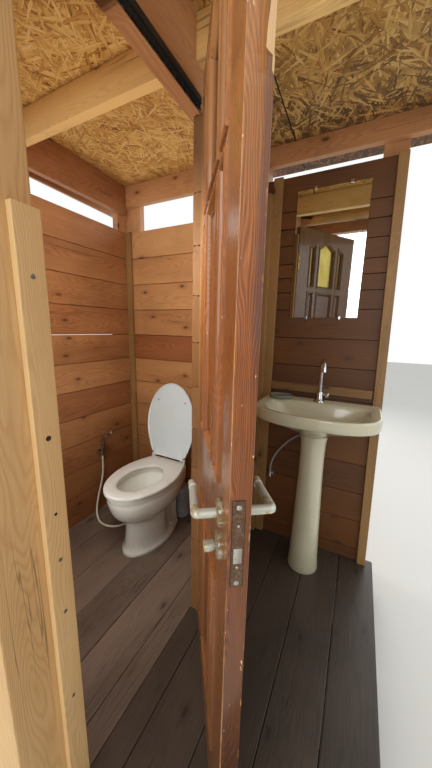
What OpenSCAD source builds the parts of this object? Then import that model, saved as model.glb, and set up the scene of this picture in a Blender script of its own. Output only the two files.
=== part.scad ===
// Small timber wash hut: a toilet cubicle on the left and an open sink porch on the right,
// under one nearly flat roof. X runs across the front, Y from the front to the back, Z up.
// The origin is on the ground, at the centre of the roof's outline.

/* [Rooms] */
// Clear width of the toilet cubicle
room_w = 944; // [850:2:1200]
// Clear depth of the toilet cubicle
room_d = 1257; // [1200:2:1500]
// Width of the porch floor, from the partition to its outer edge
porch_w = 729; // [700:1:900]
// Height of the wall boards above the floor
wall_h = 1900; // [1800:5:1905]
// Height of the sink wall's boards above the floor
sink_wall_h = 2032; // [1960:2:2050]
// Ceiling height at the back wall, above the floor
ceiling_h = 2190; // [2180:2:2300]

/* [Timber] */
// Thickness of the wall boards
board_t = 35; // [25:1:45]
// Side of the square posts
post = 100; // [80:2:120]
// Thickness of the floor boards
floor_t = 30; // [22:1:40]
// Height of the bearers under the floor
bearer_h = 100; // [80:2:140]
// Height of the light gap over the left wall
left_gap = 114; // [80:2:134]
// Height of the light gap over the back wall
back_gap = 162; // [100:2:180]
// Thickness of the beams over the left, back and sink walls
beam_t = 35; // [25:1:45]
// Thickness of the header over the doorway
header_t = 45; // [35:1:60]
// Height of the header's lower edge above the floor
header_low_h = 1956; // [1930:2:1980]
// Thickness of the rafter
rafter_t = 40; // [30:1:60]
// Height of the rafter
rafter_h = 120; // [90:2:140]
// Distance from the back wall to the middle of the rafter
rafter_back = 676; // [600:2:760]
// Diameter of the peeled log under the roof
log_d = 90; // [70:2:110]
// Distance from the back wall to the middle of the log
log_back = 1030; // [980:2:1080]

/* [Roof] */
// Fall of the roof towards the back, in degrees
roof_pitch = 1.2; // [0.5:0.1:2]
// Overhang of the roof beyond the posts
overhang = 150; // [100:5:200]
// Thickness of the roof sheets
sheet_t = 12; // [9:1:22]
// Thickness of the roofing felt
felt_t = 4; // [3:0.5:6]
// Height of the side fascia boards
fascia_h = 100; // [80:5:140]
// Thickness of the side fascia boards
fascia_t = 20; // [16:1:30]

/* [Door] */
// Width of the door leaf
door_w = 600; // [590:1:610]
// Height of the door leaf
door_h = 2000; // [1980:2:2010]
// Thickness of the door leaf
door_t = 40; // [36:0.5:42]
// Gap under the door leaf
door_clear = 18; // [10:1:30]
// Angle at which the door stands open
door_open = 35; // [10:1:80]
// Width of the outer stiles
stile_w = 120; // [105:1:130]
// Width of the narrow side lights and side panels
side_light_w = 52; // [40:1:60]
// Width of the bars between the lights
muntin_w = 45; // [35:1:50]
// Height of the lights' lower edge in the leaf
light_low_h = 1590; // [1570:5:1620]
// Height of the shoulders of the middle light
light_top_h = 1882; // [1840:2:1890]
// Height of the upper panels' lower edge in the leaf
upper_panel_low_h = 945; // [900:5:960]
// Height of the upper panels' top edge in the leaf
upper_panel_top_h = 1545; // [1500:5:1555]
// Height of the lower panels' lower edge in the leaf
lower_panel_low_h = 180; // [150:5:220]
// Height of the lower panels' top edge in the leaf
lower_panel_top_h = 690; // [600:5:720]
// Thickness of the glass
glass_t = 4; // [3:0.5:5]
// Height of the lever handle above the floor
handle_h = 918; // [900:2:1000]
// Distance from the lock edge to the handle's axis
backset = 65; // [62:1:70]
// Distance from the handle's axis down to the thumb turn's axis
lock_pitch = 72; // [70:1:80]
// Diameter of the handle's roses
rose_d = 54; // [44:1:56]
// Diameter of the lever's bar
lever_d = 19; // [16:1:20]
// Length of the lever's grip
lever_len = 120; // [100:2:130]

/* [Fixtures] */
// Width of the toilet seat
seat_w = 370; // [340:2:380]
// Length of the toilet seat from its hinge to its front
seat_l = 490; // [440:2:500]
// Height of the top of the seat above the floor
seat_top_h = 420; // [400:2:440]
// Thickness of the seat and of the lid
seat_t = 20; // [16:1:24]
// Distance from the back wall to the seat's hinge
seat_back = 190; // [175:5:220]
// Angle at which the lid stands open
lid_open = 97; // [92:1:100]
// Width of the washbasin
basin_w = 566; // [520:2:580]
// Depth of the washbasin
basin_d = 384; // [360:2:400]
// Height of the washbasin's rim above the floor
basin_h = 908; // [880:2:920]
// Distance from the partition to the middle of the washbasin
basin_side = 378; // [360:2:390]
// Width of the mirror
mirror_w = 334; // [300:2:360]
// Height of the mirror
mirror_h = 620; // [560:2:640]

/* [Hidden] */
$fn = 32;

// Plan lines, all from the rooms and the timber
base_w = post + board_t + room_w + board_t + porch_w;
base_d = 2 * (post + board_t) + room_d;
outer_left = -base_w / 2;
outer_right = base_w / 2;
front = -base_d / 2;
back = base_d / 2;
left_in = outer_left + post + board_t;
partition_left = left_in + room_w;
partition_right = partition_left + board_t;
front_in = front + post + board_t;
back_in = back - post - board_t;
roof_left = outer_left - overhang;
roof_right = outer_right + overhang;
roof_front = front - overhang;
roof_back = back + overhang;

// Levels
floor_z = bearer_h + floor_t;
wall_z = floor_z + wall_h;
left_beam_z = wall_z + left_gap;
back_beam_z = wall_z + back_gap;
sink_wall_z = floor_z + sink_wall_h;
header_z = floor_z + header_low_h;
rafter_y = back_in - rafter_back;
log_y = back_in - log_back;
porch_gap = 66;
porch_post_w = 60;
front_gap = 97;
porch_beam_z = sink_wall_z + porch_gap;
front_beam_z = sink_wall_z + front_gap;
front_beam_w = 70;
roof_play = 0.1;
sheet_joint = partition_right + 144;

// Doorway
header_set = 7.5;
header_face = partition_right - header_set;
strike_d = 140;
strike_back = front + strike_d;
jamb_w = 55;
jamb_t = 40;
hinge_gap = 3;
knuckle_out = 8;
hinge_x = partition_right + jamb_w + knuckle_out;
hinge_setback = 713.5;
hinge_y = front + hinge_setback;
hinge_post_d = 45;
hinge_post_y = hinge_y + hinge_gap + 7.5;
stop_w = 50;
stop_t = 16;
stop_h = 1470;
stop_past = 4;
stop_y1 = strike_back + stop_past;
brush_t = 12;
brush_h = 40;

// Door leaf, in its own frame: the hinge axis is the origin and the closed leaf points to -Y
leaf_out = -knuckle_out;
leaf_in = leaf_out - door_t;
leaf_mid = (leaf_in + leaf_out) / 2;
leaf_low = floor_z + door_clear;
knuckle_r = 6;
hinge_pin_r = 3;
hinge_play = 0.1;
knuckle_h = 60;
hinge_leaf_t = 1.5;
hinge_leaf_w = 34;
hinge_inset = 238;
upper_hinge_z = leaf_low + door_h - hinge_inset;
lower_hinge_z = leaf_low + hinge_inset;
panel_field = 16;
panel_t = 14;
raised_t = 26;
light_rise = 42;
slant_rise = 22;
spindle_w = door_w - backset;
spindle_side = 8;
spindle_hole_d = 22;
rose_t = 12;
outer_neck = 62;
inner_neck = 52;
thumb_d = 12;
thumb_out = 23;
plate_below = 106;
plate_h = 172;
plate_w = 22;
plate_shift = 2;
plate_t = 2;

// Fixtures
pan_x = (left_in + partition_left) / 2;
lid_y = back_in - seat_back;
seat_z = floor_z + seat_top_h;
lid_gap = 6;
lid_t = 16;
lid_axis_z = seat_z + lid_gap + lid_t / 2;
lid_pin_r = 4;
lid_pin_play = 0.1;
lid_lug_r = 9;
lid_lug_x = 96;
lid_lug_w = 20;
lid_ear_w = 12;
pan_top = seat_z - seat_t;
seat_mid = lid_y - seat_l / 2;
hole_w = 214;
hole_l = 310;
rim_z = floor_z + basin_h;
basin_x = partition_right + basin_side;
basin_band = 55;
basin_drop = 150;
bowl_w = 440;
bowl_d = 280;
mirror_low_h = 1337;
mirror_t = 4;
mirror_side = 176;
tap_y = back_in - 71;
ped_y = back_in - 160;
batten_t = 20;
corner_side = 53;
corner_leg = 101;
basin_back = back_in - batten_t - 0.3;
wall_end_low = outer_right - 38;
wall_end_top = outer_right - 89;
end_batten_w = 42;
rail_low_h = 938;
rail_h = 44;
rail_t = 20;
hose_d = 13;
tap_hose_d = 10;

// Route of the sprayer's hose, from the sprayer's tail to the valve behind the pan
sprayer_hose_path = [
    [36.5, -342.5, 408], [36.5, -342.5, 378], [36.5, -342.5, 345], [35.5, -343.5, 310], [34.5, -347.5, 275],
    [32.5, -354.5, 240], [31.5, -364.5, 205], [31.5, -376.5, 170], [33.5, -390.5, 135],
    [38.5, -406.5, 100], [48.5, -423.5, 67], [66.5, -439.5, 38], [91.5, -453.5, 17],
    [122.5, -464.5, 8], [156.5, -468.5, 7], [190.5, -465.5, 7], [221.5, -455.5, 7],
    [247.5, -436.5, 7], [266.5, -410.5, 7], [278.5, -378.5, 7], [284.5, -344.5, 7],
    [286.5, -308.5, 7], [286.5, -272.5, 7], [284.5, -236.5, 7], [281.5, -200.5, 8],
    [278.5, -166.5, 14], [276.5, -134.5, 28], [275.5, -106.5, 50], [274.5, -84.5, 80],
    [274.5, -64.5, 97], [274.5, -52, 100], [274.5, -38.5, 100]];
sprayer_route = [for (p = sprayer_hose_path)
    [left_in + p[0], back_in + p[1], floor_z + p[2]]];

// Route of the tap's hose, from under the washbasin to the valve on the wall
tap_hose_path = [
    [-25.5, -66.5, -140], [-25.5, -66.5, -156], [-29.5, -65.5, -170], [-38.5, -62.5, -182],
    [-53.5, -59.5, -192], [-72.5, -55.5, -201], [-92.5, -51.5, -212], [-113.5, -47.5, -228],
    [-133.5, -43.5, -246], [-152.5, -40.5, -266], [-170.5, -37.5, -288], [-187.5, -34.5, -311],
    [-203.5, -32.5, -334], [-217.5, -30.5, -358], [-229.5, -29.5, -383], [-238.5, -29.5, -409],
    [-244.5, -29.5, -435], [-246.5, -29.5, -461], [-246.5, -29.5, -486]];
tap_route = [for (p = tap_hose_path) [basin_x + p[0], back_in + p[1], rim_z + p[2]]];

function roof_z(y) = floor_z + ceiling_h + (back_in - y) * tan(roof_pitch);
function unit(v) = v / norm(v);
function tangent(pts, i) =
    unit(pts[min(i + 1, len(pts) - 1)] - pts[max(i - 1, 0)]);
function bulge(c) = sign(c) * pow(abs(c), 0.8);
function side_of(v, t) = unit(v - (v * t) * t);
function sides(pts, i, v) =
    i == len(pts) ? [] :
    let (s = side_of(v, tangent(pts, i))) concat([s], sides(pts, i + 1, s));

module box(x0, x1, y0, y1, z0, z1) {
    translate([x0, y0, z0])
        cube([x1 - x0, y1 - y0, z1 - z0]);
}

// A prism along X with its outline in Y and Z
module along_x(x0, x1, outline) {
    translate([x0, 0, 0])
        rotate([90, 0, 90])
            linear_extrude(x1 - x0)
                polygon(outline);
}

// A timber whose top follows the slope of the roof
module under_roof(x0, x1, y0, y1, z0) {
    along_x(x0, x1, [[y0, z0], [y1, z0], [y1, roof_z(y1) - roof_play],
        [y0, roof_z(y0) - roof_play]]);
}

// A layer parallel to the roof, from one height above its underside to another
module roof_layer(x0, x1, y0, y1, low, high) {
    along_x(x0, x1, [[y0, roof_z(y0) + low], [y1, roof_z(y1) + low],
        [y1, roof_z(y1) + high], [y0, roof_z(y0) + high]]);
}

// A round tube along a route
module tube(pts, d, n) {
    s = sides(pts, 0, [1, 0.2, 0.1]);
    rings = [for (i = [0:len(pts) - 1])
        let (t = tangent(pts, i), u = s[i], w = cross(t, u))
        for (k = [0:n - 1]) pts[i] + d / 2 * (cos(360 * k / n) * u + sin(360 * k / n) * w)];
    walls = [for (i = [0:len(pts) - 2])
        for (k = [0:n - 1])
        let (a = i * n + k, b = i * n + (k + 1) % n) each [[a, a + n, b], [b, a + n, b + n]]];
    first = [for (k = [0:n - 1]) k];
    last = [for (k = [n - 1:-1:0]) (len(pts) - 1) * n + k];
    polyhedron(points = rings, faces = concat(walls, [first], [last]));
}

module door_pose() {
    translate([hinge_x, hinge_y, 0])
        rotate([0, 0, door_open])
            children();
}

// A hole or panel outline in the door leaf: distances from the hinge edge, heights in the leaf
module leaf_prism(x0, x1, outline) {
    along_x(x0, x1, [for (p = outline) [-hinge_gap - p[0], leaf_low + p[1]]]);
}

// Left edges and widths of the three columns of lights and panels
columns = [
    [stile_w, side_light_w],
    [stile_w + side_light_w + muntin_w, door_w - 2 * (stile_w + side_light_w + muntin_w)],
    [door_w - stile_w - side_light_w, side_light_w]];

function rect(c, low, high, inset = 0) = [
    [c[0] + inset, low + inset], [c[0] + c[1] - inset, low + inset],
    [c[0] + c[1] - inset, high - inset], [c[0] + inset, high - inset]];

// Outlines of the lights: slanted tops at the sides and a bell-shaped top in the middle
function light_outline(i) =
    let (c = columns[i], left = c[0], right = c[0] + c[1])
    i == 0 ? [[left, light_low_h], [right, light_low_h], [right, light_top_h + slant_rise / 2],
        [left, light_top_h - slant_rise / 2]] :
    i == 2 ? [[left, light_low_h], [right, light_low_h], [right, light_top_h - slant_rise / 2],
        [left, light_top_h + slant_rise / 2]] :
    concat([[left, light_low_h], [right, light_low_h]],
        [for (t = [12:-1:0]) [left + c[1] * t / 12,
            light_top_h + light_rise * (0.5 - 0.5 * cos(30 * t))]]);

module bearers() {
    pitch = (base_d - 2 * post) / 3;
    color("#8a7a62")
        for (i = [0:3])
            box(left_in - board_t, outer_right, front + i * pitch, front + i * pitch + post,
                0, bearer_h);
}

module toilet_floor() {
    color("#5a4a3c")
        box(left_in - board_t, partition_left, front, back_in + board_t, bearer_h, floor_z);
}

module porch_floor() {
    color("#4c4038")
        box(partition_left, outer_right, front, back_in + board_t, bearer_h, floor_z);
}

module left_wall() {
    color("#a8672f")
        box(left_in - board_t, left_in, front_in - board_t, back_in, floor_z, wall_z);
}

module back_wall() {
    color("#b57a3f")
        box(left_in - board_t, partition_right, back_in, back_in + board_t, floor_z, wall_z);
}

module sink_wall() {
    color("#7c4a26")
        translate([0, back_in + board_t, 0])
            rotate([90, 0, 0])
                linear_extrude(board_t)
                    polygon([[partition_right, floor_z], [wall_end_low, floor_z],
                        [wall_end_top, sink_wall_z], [partition_right, sink_wall_z]]);
}

module front_wall() {
    color("#a8672f")
        box(left_in, header_face - post, front_in - board_t, front_in, floor_z, wall_z);
}

module partition_wall() {
    color("#a8672f")
        box(partition_left, partition_right, hinge_post_y + hinge_post_d, back_in,
            floor_z, header_z);
}

module front_left_post() {
    color("#d9b27a")
        box(outer_left, outer_left + post, front, front + post, 0, front_beam_z);
}

// The posts at the back stand behind the walls and the beams, and reach the roof. The left one
// is an L of two planks, so it shows in both light gaps
module back_posts() {
    plank = 45;
    left_leg = 128;
    back_leg = 123;
    plank_gap = 0.2;
    behind = back_in + max(board_t, beam_t);
    beside = left_in - max(board_t, beam_t);
    color("#c9a168") {
        under_roof(beside - plank, beside, behind + plank - left_leg, behind + plank, 0);
        under_roof(beside + plank_gap, beside + back_leg, behind, behind + plank, 0);
        under_roof(partition_right - post, partition_right, behind, back, 0);
        under_roof(wall_end_top - post, wall_end_top, behind, back, 0);
    }
}

module strike_post() {
    color("#dcb57c")
        box(header_face - post, header_face, front, strike_back, floor_z, front_beam_z);
}

module porch_post() {
    color("#d9b27a")
        box(outer_right - porch_post_w, outer_right, front, front + post, floor_z,
            front_beam_z);
}

module hinge_post() {
    color("#d7a85c")
        box(partition_left, partition_right, hinge_post_y, hinge_post_y + hinge_post_d,
            floor_z, header_z);
}

module hinge_jamb() {
    color("#d9b27a")
        box(partition_right, partition_right + jamb_w, hinge_y + hinge_gap,
            hinge_y + hinge_gap + jamb_t, floor_z, header_z);
}

module left_beam() {
    color("#b06f35")
        under_roof(left_in - beam_t, left_in, front + front_beam_w, back_in, left_beam_z);
}

module back_beam() {
    color("#b06f35")
        under_roof(left_in - beam_t, partition_right, back_in, back_in + beam_t, back_beam_z);
}

module porch_back_beam() {
    color("#a86a35")
        under_roof(partition_right, roof_right - fascia_t, back_in, back_in + beam_t,
            porch_beam_z);
}

module front_beam() {
    color("#b06f35")
        under_roof(roof_left + fascia_t, roof_right - fascia_t, front, front + front_beam_w,
            front_beam_z);
}

// The header is notched over the rafter and the log, which run on into the porch
module door_header() {
    color("#8f5a34")
        difference() {
            under_roof(header_face - header_t, header_face, strike_back, back_in, header_z);
            rafter_cut();
            log_cut();
        }
}

module rafter_cut() {
    y0 = rafter_y - rafter_t / 2;
    box(header_face - header_t - 1, header_face + 1, y0, y0 + rafter_t,
        roof_z(rafter_y) - rafter_h, roof_z(rafter_y) + 50);
}

module log_cut() {
    box(header_face - header_t - 1, header_face + 1, log_y - log_d / 2, log_y + log_d / 2,
        log_z() - log_d / 2, roof_z(log_y) + 50);
}

module rafter() {
    y0 = rafter_y - rafter_t / 2;
    color("#c28a4e")
        under_roof(left_in, roof_right - fascia_t, y0, y0 + rafter_t,
            roof_z(rafter_y) - rafter_h);
}

function log_z() = roof_z(log_y) - log_d / 2 / cos(roof_pitch);

module log_purlin() {
    color("#c99a5a")
        translate([left_in, log_y, log_z()])
            rotate([0, 90, 0])
                cylinder(d = log_d, h = roof_right - fascia_t - left_in, $fn = 48);
}

module roof_sheets() {
    color("#b98a4c") {
        roof_layer(roof_left, sheet_joint, roof_front, roof_back, 0, sheet_t);
        roof_layer(sheet_joint + 3, roof_right, roof_front, roof_back, 0, sheet_t);
    }
}

module roof_felt() {
    color("#4a4d4c")
        roof_layer(roof_left, roof_right, roof_front, roof_back, sheet_t, sheet_t + felt_t);
}

module side_fascias() {
    color("#a8672f") {
        roof_layer(roof_left, roof_left + fascia_t, roof_front, roof_back, -fascia_h, 0);
        roof_layer(roof_right - fascia_t, roof_right, roof_front, roof_back, -fascia_h, 0);
    }
}

// Cover battens in the two back corners and along the leaning end of the sink wall
module wall_battens() {
    toilet_batten_w = 45;
    color("#c79a58") {
        box(left_in, left_in + toilet_batten_w, back_in - batten_t, back_in,
            floor_z, wall_z);
        box(partition_right, partition_right + corner_side, back_in - 45, back_in,
            floor_z, header_z);
        box(partition_right + corner_side, partition_right + corner_leg,
            back_in - batten_t, back_in, floor_z, sink_wall_z);
        translate([0, back_in, 0])
            rotate([90, 0, 0])
                linear_extrude(batten_t)
                    polygon([[wall_end_low - end_batten_w, floor_z], [wall_end_low, floor_z],
                        [wall_end_top, sink_wall_z],
                        [wall_end_top - end_batten_w, sink_wall_z]]);
    }
}

module wall_rail() {
    color("#8c5c30")
        box(partition_right + corner_leg, wall_end_top - end_batten_w + 20,
            back_in - rail_t, back_in, floor_z + rail_low_h, floor_z + rail_low_h + rail_h);
}

module stop_batten() {
    color("#dfba84")
        box(header_face, header_face + stop_t, stop_y1 - stop_w, stop_y1,
            floor_z, floor_z + stop_h);
}

module brush_seal() {
    color("#1d1c1b")
        box(header_face, header_face + brush_t, strike_back, hinge_y + hinge_gap,
            header_z, header_z + brush_h);
}

module door_frame() {
    color("#7a3c22")
        door_pose()
            difference() {
                leaf_prism(leaf_in, leaf_out,
                    [[0, 0], [door_w, 0], [door_w, door_h], [0, door_h]]);
                for (i = [0:2]) {
                    leaf_prism(leaf_in - 1, leaf_out + 1, light_outline(i));
                    leaf_prism(leaf_in - 1, leaf_out + 1,
                        rect(columns[i], upper_panel_low_h, upper_panel_top_h));
                    leaf_prism(leaf_in - 1, leaf_out + 1,
                        rect(columns[i], lower_panel_low_h, lower_panel_top_h));
                }
                for (z = [handle_h, handle_h - lock_pitch])
                    translate([leaf_in - 1, -hinge_gap - spindle_w, floor_z + z])
                        rotate([0, 90, 0])
                            cylinder(d = spindle_hole_d, h = door_t + 2);
            }
}

module raised_panel(c, low, high) {
    leaf_prism(leaf_mid - panel_t / 2, leaf_mid + panel_t / 2, rect(c, low, high));
    leaf_prism(leaf_mid - raised_t / 2, leaf_mid + raised_t / 2,
        rect(c, low, high, panel_field));
}

module door_panels() {
    color("#84432a")
        door_pose()
            for (i = [0:2]) {
                raised_panel(columns[i], upper_panel_low_h, upper_panel_top_h);
                raised_panel(columns[i], lower_panel_low_h, lower_panel_top_h);
            }
}

module door_glass() {
    color("#e0c25a", 0.7)
        door_pose()
            for (i = [0:2])
                leaf_prism(leaf_mid - glass_t / 2, leaf_mid + glass_t / 2, light_outline(i));
}

module lock_plate() {
    color("#6b5a45")
        door_pose()
            box(leaf_mid - plate_shift - plate_w / 2, leaf_mid - plate_shift + plate_w / 2,
                -hinge_gap - door_w - plate_t, -hinge_gap - door_w,
                floor_z + handle_h - plate_below, floor_z + handle_h - plate_below + plate_h);
}

module ring_on_leaf(x, z, t, d, bore) {
    translate([x, -hinge_gap - spindle_w, floor_z + z])
        rotate([0, 90, 0])
            difference() {
                cylinder(d = d, h = t);
                translate([0, 0, -1])
                    cylinder(d = bore, h = t + 2);
            }
}

module door_roses() {
    color("#b9b4a6")
        door_pose() {
            ring_on_leaf(leaf_out, handle_h, rose_t, rose_d, lever_d + 2);
            ring_on_leaf(leaf_in - rose_t, handle_h, rose_t, rose_d, lever_d + 2);
            ring_on_leaf(leaf_in - rose_t, handle_h - lock_pitch, rose_t, rose_d, thumb_d + 2);
        }
}

module lever(x0, x1) {
    side = x1 > x0 ? 1 : -1;
    rotate([0, 90, 0])
        translate([0, 0, min(x0, x1)])
            cylinder(d = lever_d, h = abs(x1 - x0));
    translate([x1, 0, 0])
        sphere(d = lever_d);
    translate([x1, 0, 0])
        rotate([-90, 0, 0])
            cylinder(d = lever_d, h = lever_len);
}

module lever_handles() {
    color("#c3c0b6")
        door_pose()
            translate([0, -hinge_gap - spindle_w, floor_z + handle_h]) {
                lever(leaf_out, leaf_out + outer_neck);
                lever(leaf_in, leaf_in - inner_neck);
                box(leaf_in - 1, leaf_out + 1, -spindle_side / 2, spindle_side / 2,
                    -spindle_side / 2, spindle_side / 2);
            }
}

module thumb_turn() {
    wing_w = 24;
    wing_h = 18;
    color("#c3c0b6")
        door_pose()
            translate([0, -hinge_gap - spindle_w, floor_z + handle_h - lock_pitch]) {
                translate([leaf_in - rose_t - thumb_out, 0, 0])
                    rotate([0, 90, 0])
                        cylinder(d = thumb_d, h = rose_t + thumb_out + 8);
                box(leaf_in - rose_t - thumb_out, leaf_in - rose_t - thumb_out / 3,
                    -wing_w / 2, wing_w / 2, -wing_h / 2, wing_h / 2);
            }
}

// Each hinge is a fixed lower half with the pin and a moving upper half with the bore
module hinge_pins() {
    color("#c9a544")
        for (z = [upper_hinge_z, lower_hinge_z])
            translate([hinge_x, hinge_y, z]) {
                translate([0, 0, -knuckle_h])
                    cylinder(r = knuckle_r, h = knuckle_h);
                cylinder(r = hinge_pin_r, h = knuckle_h - 6);
                box(-knuckle_out - hinge_leaf_w, -2, hinge_gap - hinge_leaf_t, hinge_gap,
                    -knuckle_h, 0);
            }
}

module hinge_leaves() {
    color("#c9a544")
        for (z = [upper_hinge_z, lower_hinge_z])
            door_pose()
                translate([0, 0, z + 0.5])
                    difference() {
                        union() {
                            cylinder(r = knuckle_r, h = knuckle_h);
                            box(-knuckle_out - hinge_leaf_w, -2, -hinge_gap,
                                hinge_leaf_t - hinge_gap, 0, knuckle_h);
                        }
                        translate([0, 0, -1])
                            cylinder(r = hinge_pin_r + hinge_play, h = knuckle_h - 4);
                    }
}

// A rounded outline that is wider at the back, for the pan, the seat and the lid
module seat_shape(w, l) {
    hull() {
        translate([0, -l + w / 2])
            scale([0.94, 1])
                circle(d = w);
        translate([0, -l * 0.38])
            circle(d = w);
        translate([0, -30])
            square([w * 0.68, 60], center = true);
    }
}

module slice(z, w, l, y1) {
    translate([0, y1, z])
        linear_extrude(2)
            seat_shape(w, l);
}

module toilet_pan() {
    foot_w = 244;
    foot_l = 396;
    foot_back = lid_y - 4;
    color("#e4ded2")
        translate([pan_x, 0, 0])
            difference() {
                union() {
                    hull() {
                        slice(floor_z, foot_w, foot_l, foot_back);
                        slice(floor_z + 30, foot_w - 18, foot_l - 12, foot_back);
                    }
                    hull() {
                        slice(floor_z + 30, foot_w - 18, foot_l - 12, foot_back);
                        slice(floor_z + 205, foot_w - 34, foot_l - 26, foot_back);
                    }
                    hull() {
                        slice(floor_z + 205, foot_w - 34, foot_l - 26, foot_back);
                        slice(floor_z + 300, seat_w - 36, seat_l - 44, lid_y + 20);
                    }
                    hull() {
                        slice(floor_z + 300, seat_w - 36, seat_l - 44, lid_y + 20);
                        slice(pan_top - 2, seat_w - 14, seat_l + 14, lid_y + 30);
                    }
                }
                hull() {
                    bowl_slice(pan_top - 30, hole_w + 30, hole_l + 30);
                    bowl_slice(pan_top - 90, 150, 210);
                }
                hull() {
                    bowl_slice(pan_top + 1, hole_w + 40, hole_l + 40);
                    bowl_slice(pan_top - 30, hole_w + 30, hole_l + 30);
                }
            }
}

module bowl_slice(z, w, l) {
    translate([0, seat_mid - 10, z])
        scale([w / l, 1, 1])
            cylinder(d = l, h = 2);
}

// The seat has two ears with the pins that the lid turns on
module toilet_seat() {
    ear_back = 10;
    ear_top = lid_axis_z + 7 - seat_z;
    color("#ece6da")
        translate([pan_x, lid_y, seat_z]) {
            difference() {
                translate([0, ear_back, -seat_t])
                    linear_extrude(seat_t)
                        seat_shape(seat_w, seat_l + ear_back);
                translate([0, seat_mid - 14 - lid_y, -seat_t - 1])
                    scale([hole_w / hole_l, 1, 1])
                        cylinder(d = hole_l, h = seat_t + 2);
            }
            for (side = [-1, 1]) {
                x = side * (lid_lug_x + lid_lug_w + 1 + lid_ear_w / 2);
                box(x - lid_ear_w / 2, x + lid_ear_w / 2, -8, 8, 0, ear_top);
                translate([side * (lid_lug_x + 4), 0, lid_axis_z - seat_z])
                    rotate([0, side * 90, 0])
                        cylinder(r = lid_pin_r, h = lid_lug_w - 3 + lid_ear_w / 2);
            }
        }
}

// The lid stands open; closed, it lies just above the seat
module toilet_lid() {
    ear_cut = lid_ear_w + 30;
    color("#d6d8d6")
        translate([pan_x, lid_y, lid_axis_z])
            rotate([-lid_open, 0, 0])
                difference() {
                    union() {
                        translate([0, 0, -lid_t / 2])
                            linear_extrude(lid_t)
                                seat_shape(seat_w - 4, seat_l - 2);
                        for (side = [-1, 1])
                            translate([side * lid_lug_x, 0, 0])
                                rotate([0, side * 90, 0])
                                    cylinder(r = lid_lug_r, h = lid_lug_w);
                    }
                    for (side = [-1, 1]) {
                        x = side * (lid_lug_x + lid_lug_w + ear_cut / 2);
                        box(x - ear_cut / 2, x + ear_cut / 2, -18, lid_t, -lid_t, lid_t);
                        translate([side * (lid_lug_x - 1), 0, 0])
                            rotate([0, side * 90, 0])
                                cylinder(r = lid_pin_r + lid_pin_play, h = lid_lug_w + 2);
                    }
                }
}

module waste_hose() {
    r = 50;
    top = 215;
    x = pan_x + 62;
    y = lid_y + 66;
    color("#8f948f")
        translate([x, y, floor_z]) {
            cylinder(r = r - 5, h = top);
            for (z = [0:18:top - 10])
                translate([0, 0, z])
                    cylinder(r = r, h = 9);
        }
}

// Straight sides at the wall and a full round front, seen from above
module basin_shape(inset) {
    side_d = 200;
    w = basin_w / 2 - inset;
    d = basin_d - side_d - inset;
    polygon(concat([[w, 0]],
        [for (t = [0:7.5:180]) [w * bulge(cos(t)), -side_d - d * bulge(sin(t))]],
        [[-w, 0]]));
}

module washbasin() {
    color("#e3dac6")
        translate([basin_x, basin_back, 0])
            difference() {
                union() {
                    translate([0, 0, rim_z - basin_band])
                        linear_extrude(basin_band)
                            basin_shape(0);
                    hull() {
                        translate([0, 0, rim_z - basin_band])
                            linear_extrude(1)
                                basin_shape(6);
                        translate([0, -160 + batten_t, rim_z - basin_drop])
                            cylinder(d = 140, h = 1);
                    }
                    translate([tap_route[0][0] - basin_x, tap_route[0][1] - basin_back,
                        tap_route[0][2]])
                        cylinder(d = 22, h = 40);
                }
                hull() {
                    translate([0, -basin_d / 2 - 5, rim_z - 18])
                        bowl_outline(bowl_w, bowl_d);
                    translate([0, -basin_d / 2, rim_z - 100])
                        bowl_outline(bowl_w / 3, bowl_d * 0.4);
                }
                hull() {
                    translate([0, -basin_d / 2 - 5, rim_z - 1])
                        bowl_outline(bowl_w + 15, bowl_d + 12);
                    translate([0, -basin_d / 2 - 5, rim_z - 18])
                        bowl_outline(bowl_w, bowl_d);
                }
            }
}

module bowl_outline(w, d) {
    linear_extrude(2)
        polygon([for (t = [0:10:350]) [w / 2 * bulge(cos(t)), d / 2 * bulge(sin(t))]]);
}

module pedestal() {
    low_r = 80;
    mid_r = 60;
    top_r = 68;
    h = rim_z - basin_drop - floor_z;
    color("#e0d8c6")
        translate([basin_x, ped_y, floor_z])
            rotate_extrude($fn = 48)
                polygon([[0, 0], [low_r, 0], [low_r, 14], [low_r - 6, 90], [mid_r + 6, h * 0.45],
                    [mid_r, h * 0.74], [mid_r, h - 60], [top_r, h], [0, h]]);
}

module basin_tap() {
    neck_r = 8;
    bend = 46;
    neck_h = 172;
    swivel = 12;
    color("#c9ccd0")
        translate([basin_x, tap_y, rim_z]) {
            cylinder(d = 48, h = 8);
            cylinder(d = 28, h = 52);
            cylinder(r = neck_r, h = neck_h);
            rotate([0, 0, swivel]) {
                translate([0, -bend, neck_h])
                    rotate([90, 0, 90])
                        rotate_extrude(angle = 180, $fn = 48)
                            translate([bend, 0])
                                circle(r = neck_r);
                translate([0, -2 * bend, neck_h - 6])
                    cylinder(r = neck_r + 1, h = 14);
            }
            translate([0, 0, 38])
                rotate([0, 90, 0]) {
                    cylinder(d = 14, h = 36);
                    translate([0, 0, 26])
                        cylinder(d = 32, h = 20);
                }
        }
}

module soap_dish() {
    dish_w = 130;
    dish_d = 96;
    dish_t = 16;
    color("#6f7470")
        translate([basin_x - basin_w / 2 + 88, back_in - 78, rim_z])
            rotate([0, 0, 8])
                difference() {
                    dish_solid(dish_w, dish_d, dish_t);
                    translate([0, 0, 5])
                        dish_solid(dish_w - 16, dish_d - 16, dish_t);
                }
}

module dish_solid(w, d, t) {
    scale([w / d, 1, 1])
        cylinder(d = d, h = t);
}

module mirror() {
    x0 = partition_right + mirror_side;
    color("#c8d2d4")
        box(x0, x0 + mirror_w, back_in - mirror_t, back_in,
            floor_z + mirror_low_h, floor_z + mirror_low_h + mirror_h);
}

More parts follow.
